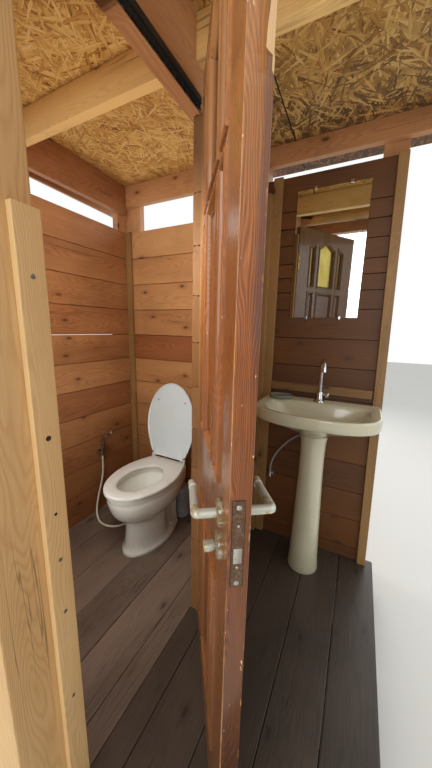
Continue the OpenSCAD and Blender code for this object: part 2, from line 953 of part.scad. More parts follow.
module sprayer_holder() {
    color("#b4b7b8")
        translate([left_in, sprayer_route[0][1], sprayer_route[0][2] + 20]) {
            rotate([0, 90, 0])
                cylinder(d = 34, h = 6);
            box(0, 24, -6, 6, -6, 6);
            box(22, 26, -16, 16, -12, 12);
        }
}

// The sprayer leans a little into the room, and its head points away from the wall
module sprayer() {
    tail = 12;
    lean = 9;
    head_tilt = 52;
    handle = 116;
    head = 94;
    head_d = 27;
    color("#c0c2c2")
        translate([sprayer_route[0][0], sprayer_route[0][1], sprayer_route[0][2]]) {
            cylinder(d = 18, h = tail + 2);
            translate([0, 0, tail])
                rotate([0, lean, 0]) {
                    cylinder(d1 = 20, d2 = head_d - 2, h = handle);
                    translate([0, 0, handle]) {
                        sphere(d = head_d - 2);
                        rotate([0, head_tilt - lean, 0]) {
                            cylinder(d = head_d - 5, h = head);
                            translate([0, 0, head - 24])
                                cylinder(d = head_d, h = 24);
                        }
                    }
                }
        }
}

module sprayer_hose() {
    color("#cfc6b4")
        tube(sprayer_route, hose_d, 10);
}

module valve_at(end) {
    translate([end[0], end[1], end[2]])
        rotate([-90, 0, 0])
            cylinder(d = 18, h = back_in - end[1]);
    translate([end[0], back_in - 4, end[2]])
        rotate([-90, 0, 0])
            cylinder(d = 48, h = 4);
    translate([end[0], end[1] + 12, end[2]])
        cylinder(d = 14, h = 34);
}

module water_valve() {
    color("#c0c2c2")
        valve_at(sprayer_route[len(sprayer_route) - 1]);
}

module tap_hose() {
    color("#9a9d9c")
        tube(tap_route, tap_hose_d, 8);
}

module basin_valve() {
    end = tap_route[len(tap_route) - 1];
    color("#c0c2c2") {
        translate([end[0], end[1], end[2] - 30])
            cylinder(d = 16, h = 30);
        translate([end[0], end[1], end[2] - 20])
            rotate([-90, 0, 0])
                cylinder(d = 14, h = back_in - end[1]);
    }
}

bearers();
toilet_floor();
porch_floor();
left_wall();
back_wall();
sink_wall();
front_wall();
partition_wall();
front_left_post();
back_posts();
strike_post();
porch_post();
hinge_post();
hinge_jamb();
left_beam();
back_beam();
porch_back_beam();
front_beam();
door_header();
rafter();
log_purlin();
roof_sheets();
roof_felt();
side_fascias();
wall_battens();
wall_rail();
stop_batten();
brush_seal();
door_frame();
door_panels();
door_glass();
lock_plate();
door_roses();
lever_handles();
thumb_turn();
hinge_pins();
hinge_leaves();
toilet_pan();
toilet_seat();
toilet_lid();
waste_hose();
washbasin();
pedestal();
basin_tap();
soap_dish();
mirror();
sprayer();
sprayer_holder();
sprayer_hose();
water_valve();
tap_hose();
basin_valve();
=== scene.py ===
"""Dresses the wooden outhouse: boards, door, toilet, washbasin and fittings over the CAD frame."""

import math
import random

import bmesh
import bpy
from mathutils import Matrix, Vector, noise


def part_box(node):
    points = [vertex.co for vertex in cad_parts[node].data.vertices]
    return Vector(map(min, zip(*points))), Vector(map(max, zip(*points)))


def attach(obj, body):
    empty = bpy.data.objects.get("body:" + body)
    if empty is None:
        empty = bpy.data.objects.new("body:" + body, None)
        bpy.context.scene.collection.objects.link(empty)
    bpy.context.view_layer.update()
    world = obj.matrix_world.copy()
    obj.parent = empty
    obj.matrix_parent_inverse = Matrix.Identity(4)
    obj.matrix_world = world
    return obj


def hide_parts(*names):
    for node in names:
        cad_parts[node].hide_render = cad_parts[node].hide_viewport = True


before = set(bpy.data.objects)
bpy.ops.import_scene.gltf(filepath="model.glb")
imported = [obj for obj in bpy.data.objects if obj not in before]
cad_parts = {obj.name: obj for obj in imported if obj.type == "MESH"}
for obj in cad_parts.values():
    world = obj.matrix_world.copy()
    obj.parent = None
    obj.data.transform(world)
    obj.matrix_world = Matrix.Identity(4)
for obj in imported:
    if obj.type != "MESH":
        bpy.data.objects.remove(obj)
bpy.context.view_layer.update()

# Bodies of the record
HUT, DOOR, LEVERS, THUMB, LID = "hut", "door", "levers", "thumb", "lid"

# Places in metres, as in the part's source
FLOOR = 0.130
LEFT_IN, PARTITION_LEFT, PARTITION_RIGHT, OUTER_RIGHT = -0.7865, 0.1575, 0.1925, 0.9215
FRONT_IN, BACK_IN = -0.6285, 0.6285
ROOF_LEFT, ROOF_RIGHT, ROOF_FRONT, ROOF_BACK = -1.0715, 1.0715, -0.9135, 0.9135
ROOF_SLOPE = math.tan(math.radians(1.2))
ROOF_SHEET = 0.012
CEILING = 2.190
HINGE = Vector((0.2555, -0.0500, 0.0))
DOOR_OPEN = math.radians(35)
DOOR_POSE = Matrix.Translation(HINGE) @ Matrix.Rotation(DOOR_OPEN, 4, "Z")
LEAF_OUT, LEAF_IN, LEAF_LOW, HINGE_GAP = -0.008, -0.048, 0.148, 0.003
LEAF_MID = (LEAF_OUT + LEAF_IN) / 2
DOOR_W, DOOR_H, STILE = 0.600, 2.000, 0.120
LOCK_EDGE = HINGE_GAP + DOOR_W
SPINDLE_W, HANDLE_Z, THUMB_Z = 0.535, 1.048, 0.976
PAN_X, LID_Y, SEAT_Z, LID_AXIS_Z = -0.3145, 0.4385, 0.550, 0.564
LID_OPEN = math.radians(97)
RIM_Z, BASIN_X, BASIN_BACK = 1.038, 0.5705, 0.6082
TAP_Y, PEDESTAL_Y = 0.5575, 0.4685
SHEET_SEAM_X = 0.338


def roof_z(y):
    """Underside of the roof sheets above a given depth."""
    return FLOOR + CEILING + (BACK_IN - y) * ROOF_SLOPE


def rgb(code):
    """A colour written as sRGB hex, in Blender's linear values."""
    parts = [int(code[i:i + 2], 16) / 255 for i in (0, 2, 4)]
    return tuple(c / 12.92 if c <= 0.04045 else ((c + 0.055) / 1.055) ** 2.4 for c in parts) + (1,)


def chance(*key):
    """A fixed number from 0 to 1 for a key."""
    return random.Random("|".join(str(k) for k in key)).random()


def linked(name, data):
    """A new object in the scene."""
    obj = bpy.data.objects.new(name, data)
    bpy.context.collection.objects.link(obj)
    return obj


# Camera


def make_camera():
    """The photo's camera, solved from its vanishing points and the lines of the floor."""
    yaw, pitch, roll = math.radians(26.72), math.radians(11.12), math.radians(1.32)
    data = bpy.data.cameras.new("camera")
    data.sensor_fit = "VERTICAL"
    data.sensor_width = data.sensor_height = 36
    data.lens = 13.22
    data.clip_start = 0.02
    camera = linked("camera", data)
    turn = (Matrix.Rotation(yaw, 4, "Z") @ Matrix.Rotation(math.pi / 2 - pitch, 4, "X")
            @ Matrix.Rotation(roll, 4, "Z"))
    camera.matrix_world = Matrix.Translation((0.7311, -0.9665, 1.400)) @ turn
    bpy.context.scene.camera = camera


make_camera()
bpy.context.scene.view_settings.view_transform = "Standard"

# Shaders


class Shader:
    """A Principled material with short calls for its nodes.

    Plain numbers go on the shader's sockets.
    """

    def __init__(self, name, roughness=0.5, **fixed):
        self.material = bpy.data.materials.new(name)
        self.material.use_nodes = True
        self.tree = self.material.node_tree
        self.out = self.tree.nodes["Principled BSDF"]
        self.out.inputs["Roughness"].default_value = roughness
        for key, value in fixed.items():
            socket = key.replace("_", " ").title().replace("Ior", "IOR")
            self.out.inputs[socket].default_value = value

    def feed(self, socket, value):
        if isinstance(value, bpy.types.NodeSocket):
            self.tree.links.new(value, socket)
        else:
            socket.default_value = value

    def node(self, kind, sockets=(), **settings):
        made = self.tree.nodes.new("ShaderNode" + kind)
        for key, value in settings.items():
            setattr(made, key, value)
        for key, value in dict(sockets).items():
            self.feed(made.inputs[key], value)
        return made

    def math(self, operation, a, b=0.0, c=0.0):
        return self.node("Math", {0: a, 1: b, 2: c}, operation=operation).outputs[0]

    def add(self, a, b):
        return self.math("ADD", a, b)

    def sub(self, a, b):
        return self.math("SUBTRACT", a, b)

    def mul(self, a, b):
        return self.math("MULTIPLY", a, b)

    def muladd(self, a, b, c):
        """a times b, plus c."""
        return self.math("MULTIPLY_ADD", a, b, c)

    def off(self, a, b):
        """The distance between two values."""
        return self.math("ABSOLUTE", self.sub(a, b))

    def vector(self, operation, a, b=(0, 0, 0), output=0):
        return self.node("VectorMath", {0: a, 1: b}, operation=operation).outputs[output]

    def parts(self, vector):
        return self.node("SeparateXYZ", {0: vector}).outputs

    def join(self, x, y, z):
        return self.node("CombineXYZ", {0: x, 1: y, 2: z}).outputs[0]

    def mix(self, factor, a, b, blend="MIX"):
        return self.node("Mix", {0: factor, 6: a, 7: b}, data_type="RGBA",
                         blend_type=blend).outputs[2]

    def tint(self, colour, amount, code, blend="MIX"):
        """The colour taken towards another one by an amount."""
        return self.mix(amount, colour, rgb(code), blend)

    def ramp(self, factor, *stops):
        """A colour ramp from pairs of a place and a colour's code."""
        made = self.node("ValToRGB", {0: factor})
        elements = made.color_ramp.elements
        while len(elements) < len(stops):
            elements.new(0.5)
        for element, (place, code) in zip(elements, stops):
            element.position, element.color = place, rgb(code)
        return made.outputs[0]

    def noise(self, vector, scale, detail=3.0, roughness=0.5, distortion=0.0):
        """Noise of one scale, or of one scale along each axis."""
        if isinstance(scale, tuple):
            vector, scale = self.vector("MULTIPLY", vector, scale), 1.0
        return self.node("TexNoise", {"Vector": vector, "Scale": scale, "Detail": detail,
                                      "Roughness": roughness, "Distortion": distortion}).outputs[0]

    def cells(self, vector, scale, dimensions="3D"):
        return self.node("TexVoronoi", {"Vector": vector, "Scale": scale},
                         voronoi_dimensions=dimensions).outputs

    def span(self, value, low, high, to_low=0.0, to_high=1.0):
        return self.node("MapRange", {0: value, 1: low, 2: high, 3: to_low, 4: to_high}).outputs[0]

    def place(self):
        """The point in the row frame."""
        return self.node("TexCoord").outputs["Object"]

    def board(self, *shift):
        """What Timber wrote on each point, and the grain's place shifted by the board's seed."""
        grain = self.attribute("grain")
        tone, red, seed = self.parts(self.attribute("look"))[:3]
        moved = [self.mul(seed, s) if s != 1.0 else seed for s in shift]
        spot = self.vector("ADD", grain, self.join(*moved))
        return tone, red, seed, spot, *self.parts(grain)[1:3]

    def attribute(self, name):
        return self.node("Attribute", attribute_name=name).outputs["Vector"]

    def paint(self, colour, roughness=None, height=None, strength=0.3, distance=0.001):
        self.feed(self.out.inputs["Base Color"], colour)
        if roughness is not None:
            self.feed(self.out.inputs["Roughness"], roughness)
        if height is not None:
            bump = self.node("Bump", {"Strength": strength, "Distance": distance,
                                      "Height": height})
            self.feed(self.out.inputs["Normal"], bump.outputs[0])
        return self.material


def wood(name, light, dark, knot="4a2714", ring=0.5, ring_step=0.005, knots=0.4, streak=0.5,
         dirt=0.25, dirt_colour="3a2a1e", roughness=0.55, relief=0.4, low_darkening=0.0):
    """Sawn timber: growth rings round a pith outside the board, knots, fibres, cracks and dirt."""
    s = Shader(name, roughness)
    tone, red, seed, spot, across, through = s.board(31.0, 17.0, 9.0)
    # a knot in some of the cells
    found = s.cells(s.vector("MULTIPLY", spot, (3.4, 7.5, 0.0)), 1.0, "2D")
    dropped = s.math("GREATER_THAN", s.parts(found["Color"])[0], knots)
    away = s.add(found["Distance"], dropped)
    core = s.span(away, 0.058, 0.030)
    rim = s.span(s.off(away, 0.058), 0.014, 0.0)
    halo = s.span(away, 0.20, 0.05)
    # rings by the distance from the pith
    wobble = s.noise(spot, (1.3, 9.0, 9.0), 2.0)
    fine = s.noise(spot, (5.0, 40.0, 40.0))
    pith = s.join(s.add(across, s.muladd(seed, 0.10, -0.05)),
                  s.add(through, s.muladd(wobble, 0.16, -0.03)), 0.0)
    reach = s.add(s.vector("LENGTH", pith, output="Value"),
                  s.muladd(halo, 0.010, s.mul(fine, 0.004)))
    wave = s.math("SINE", s.mul(reach, 2 * math.pi / ring_step))
    late = s.math("POWER", s.muladd(wave, 0.5, 0.5), 2.2)
    fibre = s.noise(spot, (6.0, 260.0, 260.0), 4.0, 0.6)
    patch = s.noise(spot, (1.6, 6.0, 6.0))
    amount = s.muladd(late, 0.50 * ring, s.mul(tone, 0.55))
    amount = s.add(amount, s.muladd(fibre, streak, -0.5 * streak))
    amount = s.add(amount, s.muladd(patch, 0.8, -0.4))
    colour = s.mix(s.span(amount, 0.0, 1.0), rgb(light), rgb(dark))
    colour = s.tint(colour, s.mul(red, 0.75), "b9705a", "MULTIPLY")
    colour = s.tint(colour, s.mul(halo, 0.40), dark)
    colour = s.tint(colour, s.mul(core, 0.85), knot)
    colour = s.tint(colour, s.mul(rim, 0.6), "2a170c")
    line = s.noise(spot, (1.1, 34.0, 34.0), 2.0)
    crack = s.mul(s.span(s.off(line, 0.5), 0.012, 0.004), s.span(patch, 0.50, 0.62, 0.0, 0.5))
    colour = s.tint(colour, crack, "24150c")
    stain = s.noise(s.place(), 3.1, 5.0, 0.62, 0.4)
    colour = s.tint(colour, s.span(stain, 0.5, 0.78, 0.0, dirt), dirt_colour)
    if low_darkening:
        # darker towards the floor
        low = s.muladd(stain, 0.35, s.parts(s.place())[2])
        colour = s.tint(colour, s.span(low, 1.25, 0.45, 0.0, low_darkening), "bba593", "MULTIPLY")
    height = s.sub(s.add(s.mul(late, -0.5), s.mul(fibre, 0.9)), s.mul(crack, 2.5))
    return s.paint(colour, s.span(fibre, 0.2, 0.8, roughness - 0.08, roughness + 0.1), height,
                   relief, 0.0006)


def flake_board():
    """Pressed strands: layers of long thin cells at several angles, the topmost one showing."""
    s = Shader("flake_board", 0.62)
    place = s.place()
    drift = s.muladd(s.noise(place, 5.0, 2.0), 0.05, -0.025)
    bent = s.vector("ADD", place, s.join(drift, 0.0, 0.0))
    best = None
    for i, turn in enumerate((0.15, 0.8, 1.5, 2.15, 2.75, 0.5, 1.9, 1.15)):
        turned = s.node("Mapping", {"Vector": bent, "Location": (i * 3.7, i * 1.9, 0),
                                    "Rotation": (0, 0, turn), "Scale": (0.105, 0.0098, 1)},
                        vector_type="TEXTURE").outputs[0]
        cell = s.cells(turned, 1.0, "2D")
        rank, shade = s.parts(cell["Color"])[:2]
        rank = s.sub(rank, s.mul(cell["Distance"], 0.35))
        if best is None:
            best, tone, spot, side = rank, shade, turned, cell["Distance"]
            continue
        above = s.math("GREATER_THAN", rank, best)
        best = s.math("MAXIMUM", rank, best)
        tone = s.mix(above, tone, shade)
        spot = s.mix(above, spot, turned)
        side = s.mix(above, side, cell["Distance"])
    fibre = s.noise(spot, (0.7, 5.0, 1.0), 4.0, 0.65)
    shade = s.add(s.muladd(tone, 0.7, 0.12), s.muladd(fibre, 0.7, -0.35))
    # painted shade along each strand's edges, for relief
    shade = s.sub(shade, s.span(side, 0.35, 0.75, 0.0, 0.3))
    colour = s.ramp(shade, (0.0, "80501f"), (0.14, "b38443"), (0.45, "d3a75c"), (0.8, "e4c07a"),
                    (1.0, "f2dda6"))
    rosy = s.span(s.noise(spot, (0.4, 1.0, 1.0), 2.0), 0.60, 0.68)
    colour = s.tint(colour, s.mul(rosy, 0.6), "b06a34")
    x, y = s.parts(place)[:2]
    # painted shade: darker along the walls and beams, and greyer over the porch. Darker in clouds
    # towards the back of the porch, on the darker strands
    edge = s.math("MINIMUM", s.sub(BACK_IN, y), s.sub(x, LEFT_IN))
    cloud = s.noise(place, 7.0, 5.0, 0.65)
    corner_shade = s.span(s.muladd(cloud, 0.30, edge), 0.24, 0.10, 0.0, 0.8)
    colour = s.tint(colour, corner_shade, "9a6a45", "MULTIPLY")
    porch = s.span(x, 0.165, 0.20)
    colour = s.tint(colour, s.mul(porch, 0.5), "e2d8cc", "MULTIPLY")
    mould = s.mul(porch, s.span(s.muladd(cloud, 1.3, y), 0.66, 1.15))
    colour = s.tint(colour, s.mul(mould, s.span(tone, 0.85, 0.35, 0.10, 0.85)), "4a3826")
    colour = s.tint(colour, s.span(s.off(x, SHEET_SEAM_X), 0.004, 0.0015), "20160f")
    return s.paint(colour, s.span(fibre, 0.2, 0.8, 0.5, 0.75), s.add(best, s.mul(fibre, 0.25)),
                   0.55, 0.0012)


def speckled(name, colour, dark, scale, amount, roughness, relief, patch=0.25, patch_scale=9.0):
    """A plain stuff with fine speckle and slow patches of a darker tone."""
    s = Shader(name, roughness)
    fine = s.noise(s.place(), scale, 2.0)
    slow = s.noise(s.place(), patch_scale, 4.0, 0.6)
    shade = s.add(s.span(fine, 0.35, 0.7, 0.0, amount), s.span(slow, 0.42, 0.75, 0.0, patch))
    return s.paint(s.mix(shade, rgb(colour), rgb(dark)),
                   s.span(slow, 0.3, 0.75, roughness * 0.85, min(1.0, roughness * 1.25)),
                   fine, relief, 0.0004)


def worn_metal(name, colour, rust, rust_amount, roughness, scale, metallic=1.0, rust_metal=0.2,
               relief=0.25):
    """Bare metal with rust or wear in patches."""
    s = Shader(name, roughness)
    slow = s.noise(s.place(), scale, 6.0, 0.7)
    fine = s.noise(s.place(), scale * 14, 3.0)
    edge = 0.62 - 0.22 * rust_amount
    mask = s.span(s.muladd(fine, 0.10, slow), edge, edge + 0.12)
    s.feed(s.out.inputs["Metallic"], s.span(mask, 0.0, 1.0, metallic, rust_metal))
    return s.paint(s.mix(mask, rgb(colour), rgb(rust)),
                   s.span(mask, 0.0, 1.0, roughness, min(1.0, roughness + 0.35)),
                   s.add(mask, fine), relief, 0.0003)


def glaze(name, colour, stain, stain_low, stain_high, roughness=0.12):
    """Glazed ceramic, dirtier towards the floor."""
    s = Shader(name, roughness, coat_weight=0.8, coat_roughness=0.03, specular_ior_level=0.55)
    cloud = s.noise(s.place(), 6.0, 5.0, 0.62)
    fine = s.noise(s.place(), 70.0, 3.0)
    low = s.span(s.parts(s.place())[2], FLOOR + 0.16, FLOOR)
    amount = s.muladd(low, stain_high, s.span(cloud, 0.45, 0.8, 0.0, stain_low))
    amount = s.mul(amount, s.span(fine, 0.2, 0.8, 0.7, 1.3))
    return s.paint(s.mix(amount, rgb(colour), rgb(stain)),
                   s.span(cloud, 0.3, 0.8, roughness, roughness + 0.15), fine, 0.03, 0.0005)


def door_varnish():
    """Reddish hardwood under worn varnish.

    Paler at the top as a painted sheen, dark at the foot as painted shade with weathering, arrises
    rubbed bare.
    """
    s = Shader("door_varnish", 0.3, coat_weight=0.4, coat_roughness=0.09,
               specular_ior_level=0.35)
    tone, red, seed, spot, across, through = s.board(23.0, 11.0, 1.0)
    wobble = s.noise(spot, (1.1, 6.0, 6.0), 3.0, 0.6)
    pith = s.join(s.muladd(wobble, 0.22, across), s.add(through, s.muladd(seed, 0.05, 0.01)), 0.0)
    reach = s.vector("LENGTH", pith, output="Value")
    wave = s.muladd(s.math("SINE", s.mul(reach, 2000.0)), 0.5, 0.5)
    fibre = s.noise(spot, (8.0, 420.0, 420.0), 4.0, 0.65)
    pores = s.span(s.noise(spot, (22.0, 900.0, 900.0), 2.0), 0.60, 0.70)
    slow = s.noise(spot, (1.5, 9.0, 9.0))
    amount = s.add(s.mul(wave, 0.27), s.mul(fibre, 0.58))
    amount = s.add(amount, s.muladd(slow, 0.7, -0.30))
    amount = s.add(amount, s.muladd(tone, 0.5, -0.25))
    colour = s.ramp(amount, (0.1, "c07a3c"), (0.40, "9b5727"), (0.68, "6b381b"), (0.95, "3c1e11"))
    colour = s.tint(colour, s.mul(pores, 0.6), "2a140e")
    place = s.place()
    z = s.parts(place)[2]
    rub = s.noise(place, (14.0, 14.0, 2.2), 5.0, 0.65)
    colour = s.tint(colour, s.mul(s.span(rub, 0.56, 0.72), s.mul(red, 0.6)), "c58a5e")
    # painted sheen: paler towards the top; painted shade with weathering: darker towards the foot
    colour = s.tint(colour, s.span(z, 1.45, 2.05, 0.0, 0.55), "b8915f")
    colour = s.tint(colour, s.span(z, 1.50, 0.45, 0.0, 0.85), "30190f")
    # distances along and through the leaf, from its hinge
    out = s.vector("SUBTRACT", place, tuple(HINGE))
    way = (math.sin(DOOR_OPEN), -math.cos(DOOR_OPEN), 0)
    reach = s.vector("DOT_PRODUCT", out, way, "Value")
    side = s.sub(s.vector("DOT_PRODUCT", out, (-way[1], way[0], 0), "Value"), LEAF_MID)
    ragged = s.noise(place, (60.0, 60.0, 16.0), 4.0, 0.7)
    at_edge = s.span(reach, LOCK_EDGE - 0.0050, LOCK_EDGE - 0.0010)
    inward = s.sub(1.0, at_edge)
    # painted light and shade: the inner face, turned to the front, is paler, the outer face,
    # turned into the porch, darker
    colour = s.tint(colour, s.mul(inward, s.span(side, 0.004, 0.014, 0.0, 0.6)), "42281b")
    colour = s.tint(colour, s.mul(inward, s.span(side, -0.004, -0.014, 0.0, 0.22)), "c98450")
    stain = s.mul(s.span(s.muladd(ragged, 0.012, side), 0.010, 0.018),
                  s.mul(at_edge, s.span(z, 1.20, 1.40)))
    colour = s.tint(colour, s.mul(stain, 0.6), "553d35")
    # bare wood along both arrises of the lock edge
    rim = s.muladd(ragged, 0.0060, s.math("ABSOLUTE", side))
    bare = s.mul(at_edge, s.span(rim, 0.0205, 0.0225))
    inner = s.mul(s.math("LESS_THAN", side, 0.0), s.span(z, 1.85, 1.60))
    inner = s.mul(inner, s.span(rub, 0.40, 0.58))
    outer = s.mul(s.math("GREATER_THAN", side, 0.0), s.span(ragged, 0.58, 0.64))
    bare = s.mul(bare, s.add(inner, outer))
    colour = s.tint(colour, s.mul(bare, 0.8), "cc9560")
    # painted shade in the grooves beside the mouldings
    groove_shade = s.mul(s.span(s.math("ABSOLUTE", side), 0.0165, 0.0085),
                 s.math("LESS_THAN", reach, LOCK_EDGE - STILE + 0.002))
    colour = s.tint(colour, s.mul(groove_shade, 0.65), "2b150d")
    nick = s.span(s.noise(place, (150.0, 150.0, 55.0), 2.0), 0.73, 0.75)
    colour = s.tint(colour, nick, "dcb583")
    return s.paint(colour, s.span(rub, 0.35, 0.7, 0.24, 0.42), s.sub(fibre, s.mul(pores, 0.6)),
                   0.25, 0.0004)


def log_wood():
    """A peeled log with strips of dark bark left on."""
    s = Shader("peeled_log", 0.6)
    place = s.place()
    slow = s.noise(place, (3.0, 13.0, 13.0), 5.0, 0.65, 0.5)
    fine = s.noise(place, (14.0, 160.0, 160.0), 4.0, 0.6)
    bark = s.span(s.muladd(fine, 0.16, slow), 0.60, 0.68)
    colour = s.mix(s.span(fine, 0.3, 0.7), rgb("d3a566"), rgb("a3743f"))
    return s.paint(s.tint(colour, bark, "4c3323"), None, s.add(bark, fine), 0.5, 0.002)


def amber_glass():
    s = Shader("amber_glass", 0.22, transmission_weight=0.75, ior=1.45)
    place = s.place()
    dimple = s.cells(place, 90.0)["Distance"]
    vein = s.noise(place, (9.0, 9.0, 5.0), 4.0, 0.6, 1.2)
    colour = s.mix(s.span(vein, 0.35, 0.65), rgb("e6cd62"), rgb("cfae3e"))
    return s.paint(colour, None, s.add(dimple, vein), 0.5, 0.002)


def cloudy(name, roughness, transmission, ior, scale, detail, colours, strength):
    """Water or glass with slow clouds in its colour and relief."""
    s = Shader(name, roughness, transmission_weight=transmission, ior=ior)
    cloud = s.noise(s.place(), scale, detail)
    return s.paint(s.mix(cloud, *map(rgb, colours)), None, cloud, strength, 0.001)


def looking_glass():
    s = Shader("mirror_glass", 0.02, metallic=1.0)
    haze = s.noise(s.place(), 14.0, 4.0, 0.6)
    return s.paint(s.mix(s.span(haze, 0.5, 0.8, 0.0, 0.4), rgb("dfe6e4"), rgb("b8beba")),
                   s.span(haze, 0.45, 0.85, 0.015, 0.06))


PLANKS = {"ring": 0.4, "ring_step": 0.007, "knots": 0.25, "streak": 0.6, "dirt": 0.5,
          "roughness": 0.42, "relief": 0.35}
MATERIALS = {
    "wall": wood("wall_wood", "cd9a64", "834d2a", streak=0.4, low_darkening=0.9),
    # the sink wall's boards: a darker copy of the wall wood, as painted shade
    "dark_wall": wood("painted_shade_wall_wood", "784a1b", "43280d", ring=0.45, knots=0.34, streak=0.35),
    "pale": wood("pale_timber", "e6c48c", "b98a52", "7a4a26", ring=0.42, knots=0.16, streak=0.36,
                 dirt=0.15, dirt_colour="6b5138"),
    "beam": wood("beam_wood", "dba873", "935f3a", ring=0.45, knots=0.32, streak=0.4, dirt=0.35),
    # the rafter: wood set paler than the beams', as painted light
    "rafter": wood("rafter_painted_light_wood", "f8cf88", "cf9850", knots=0.2, streak=0.35),
    # the porch's battens and jamb: a darker copy of the pale timber, as painted shade
    "porch_batten": wood("porch_batten_painted_shade_wood", "a07a48", "6c4c2c", ring=0.45, knots=0.2,
                         streak=0.35),
    "floor": wood("floor_wood", "7c6a5a", "3e322b", "2a1d16", dirt_colour="2b2420", **PLANKS),
    # the porch's floor: a darker copy of the floor wood, as painted shade
    "porch_floor": wood("porch_floor_painted_shade_wood", "50453a", "26201b", "1d1510", dirt_colour="231e1b",
                        **PLANKS),
    "ground": wood("bearer_wood", "8b7a64", "54483a", ring=0.4, knots=0.3, dirt=0.6),
    "chip": wood("raw_chip", "fbf2bc", "ecd391", ring=0.3, knots=0.0, dirt=0.0),
    "log": log_wood(),
    "flake": flake_board(),
    "door": door_varnish(),
    "felt": speckled("roof_felt", "666a66", "34383a", 420.0, 0.7, 0.9, 0.8, 0.55, 2.6),
    "bitumen": speckled("bitumen", "242526", "121313", 200.0, 0.4, 0.35, 0.2),
    "brush": speckled("brush_hair", "26272a", "0c0c0e", 500.0, 0.5, 0.7, 0.2),
    "seat": speckled("seat_plastic", "d4d1c6", "a69e8e", 300.0, 0.05, 0.3, 0.02, 0.15),
    "lid": speckled("lid_plastic", "cfd5d3", "b0b4b3", 300.0, 0.05, 0.35, 0.02, 0.2),
    "pipe": speckled("pipe_plastic", "8f938f", "5d5f5c", 300.0, 0.2, 0.5, 0.1, 0.5),
    "hose": speckled("hose_plastic", "cbc1ac", "a19578", 500.0, 0.1, 0.3, 0.05, 0.3),
    "grey_hose": speckled("supply_hose", "a5a7a4", "6d6f6c", 700.0, 0.5, 0.4, 0.3, 0.3),
    # dark stuff for holes and the gap round the lock plate: painted shade
    "hole_shade": speckled("painted_shade_dark", "2c2b2a", "121212", 500.0, 0.3, 0.7, 0.1),
    "rusty": worn_metal("lock_metal", "80705c", "5a3c26", 0.9, 0.42, 90.0),
    "handle": worn_metal("handle_metal", "c3c6ba", "a5813f", 0.22, 0.42, 45.0, 0.45),
    "rose": worn_metal("rose_metal", "b7b1a2", "7d6238", 0.75, 0.5, 130.0, 0.7),
    "bolt": worn_metal("bolt_metal", "c6c5c0", "8b7c62", 0.2, 0.3, 120.0),
    "brass": worn_metal("brass", "cfa657", "7d5f2c", 0.3, 0.3, 70.0, 1.0, 0.8),
    "screw": worn_metal("screw_metal", "9d9c98", "4b4640", 0.5, 0.4, 150.0),
    "chrome": worn_metal("chrome", "c9cbcc", "8d8f8c", 0.15, 0.14, 50.0, 1.0, 0.7, 0.05),
    "pan": glaze("pan_glaze", "e4e0d2", "8c7f68", 0.10, 0.35),
    # the basin: a cream glaze, set darker than the pan's as painted shade
    "basin": glaze("basin_glaze", "c6c0a4", "8a8268", 0.22, 0.4, 0.16),
    "amber": amber_glass(),
    "mirror": looking_glass(),
    "water": cloudy("water", 0.03, 0.9, 1.33, 40.0, 2.0, ("dfe4e0", "cfd6d2"), 0.05),
    "smoky": cloudy("smoky_glass", 0.12, 0.55, 1.45, 60.0, 4.0, ("b4b6ab", "85877e"), 0.2),
}

# Pieces

# A face of timber stays flat where its edges are all longer than this
FLAT_FROM = 0.005


def settle(name, data, material, body=HUT, nodes=(), slot=None, smooth=35.0):
    """A piece in the scene with its material, the body it rides on and what it stands for."""
    obj = linked(name, data)
    data.materials.append(MATERIALS[material])
    if obj.type == "MESH":
        for polygon in data.polygons:
            polygon.use_smooth = True
        data.set_sharp_from_angle(angle=math.radians(smooth))
    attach(obj, body)
    if nodes:
        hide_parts(*nodes)
    return obj


def new_mesh(name, points, faces, matrix=None):
    mesh = bpy.data.meshes.new(name)
    mesh.from_pydata([tuple(p) for p in points], [], faces)
    if matrix is not None:
        mesh.transform(matrix)
    return mesh


def put(name, made, material, matrix=None, **more):
    """A piece from its points and faces."""
    mesh = new_mesh(name, *made, matrix)
    mesh.validate()
    settle(name, mesh, material, **more)


def dress(node, material):
    """Gives a CAD node that shows as it is one of the materials."""
    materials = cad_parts[node].data.materials
    materials.clear()
    materials.append(MATERIALS[material])


def rounded(bm, edges, offset, segments=2, **more):
    bmesh.ops.bevel(bm, geom=edges, offset=offset, segments=segments, profile=0.6,
                    affect="EDGES", **more)
    return bm


def box_bmesh(low, high, bevel, segments=2):
    bm = bmesh.new()
    for v in bmesh.ops.create_cube(bm, size=1)["verts"]:
        v.co = Vector([low[i] + (v.co[i] + 0.5) * (high[i] - low[i]) for i in range(3)])
    return rounded(bm, bm.edges[:], bevel, segments)


def loose_parts(bm):
    """The points of each loose part, in their own order, so that every run gives the same."""
    left = set(bm.verts)
    for start in bm.verts:
        if start not in left:
            continue
        left.remove(start)
        part, edge = [], [start]
        while edge:
            vert = edge.pop()
            part.append(vert)
            for link in vert.link_edges:
                other = link.other_vert(vert)
                if other in left:
                    left.remove(other)
                    edge.append(other)
        yield part


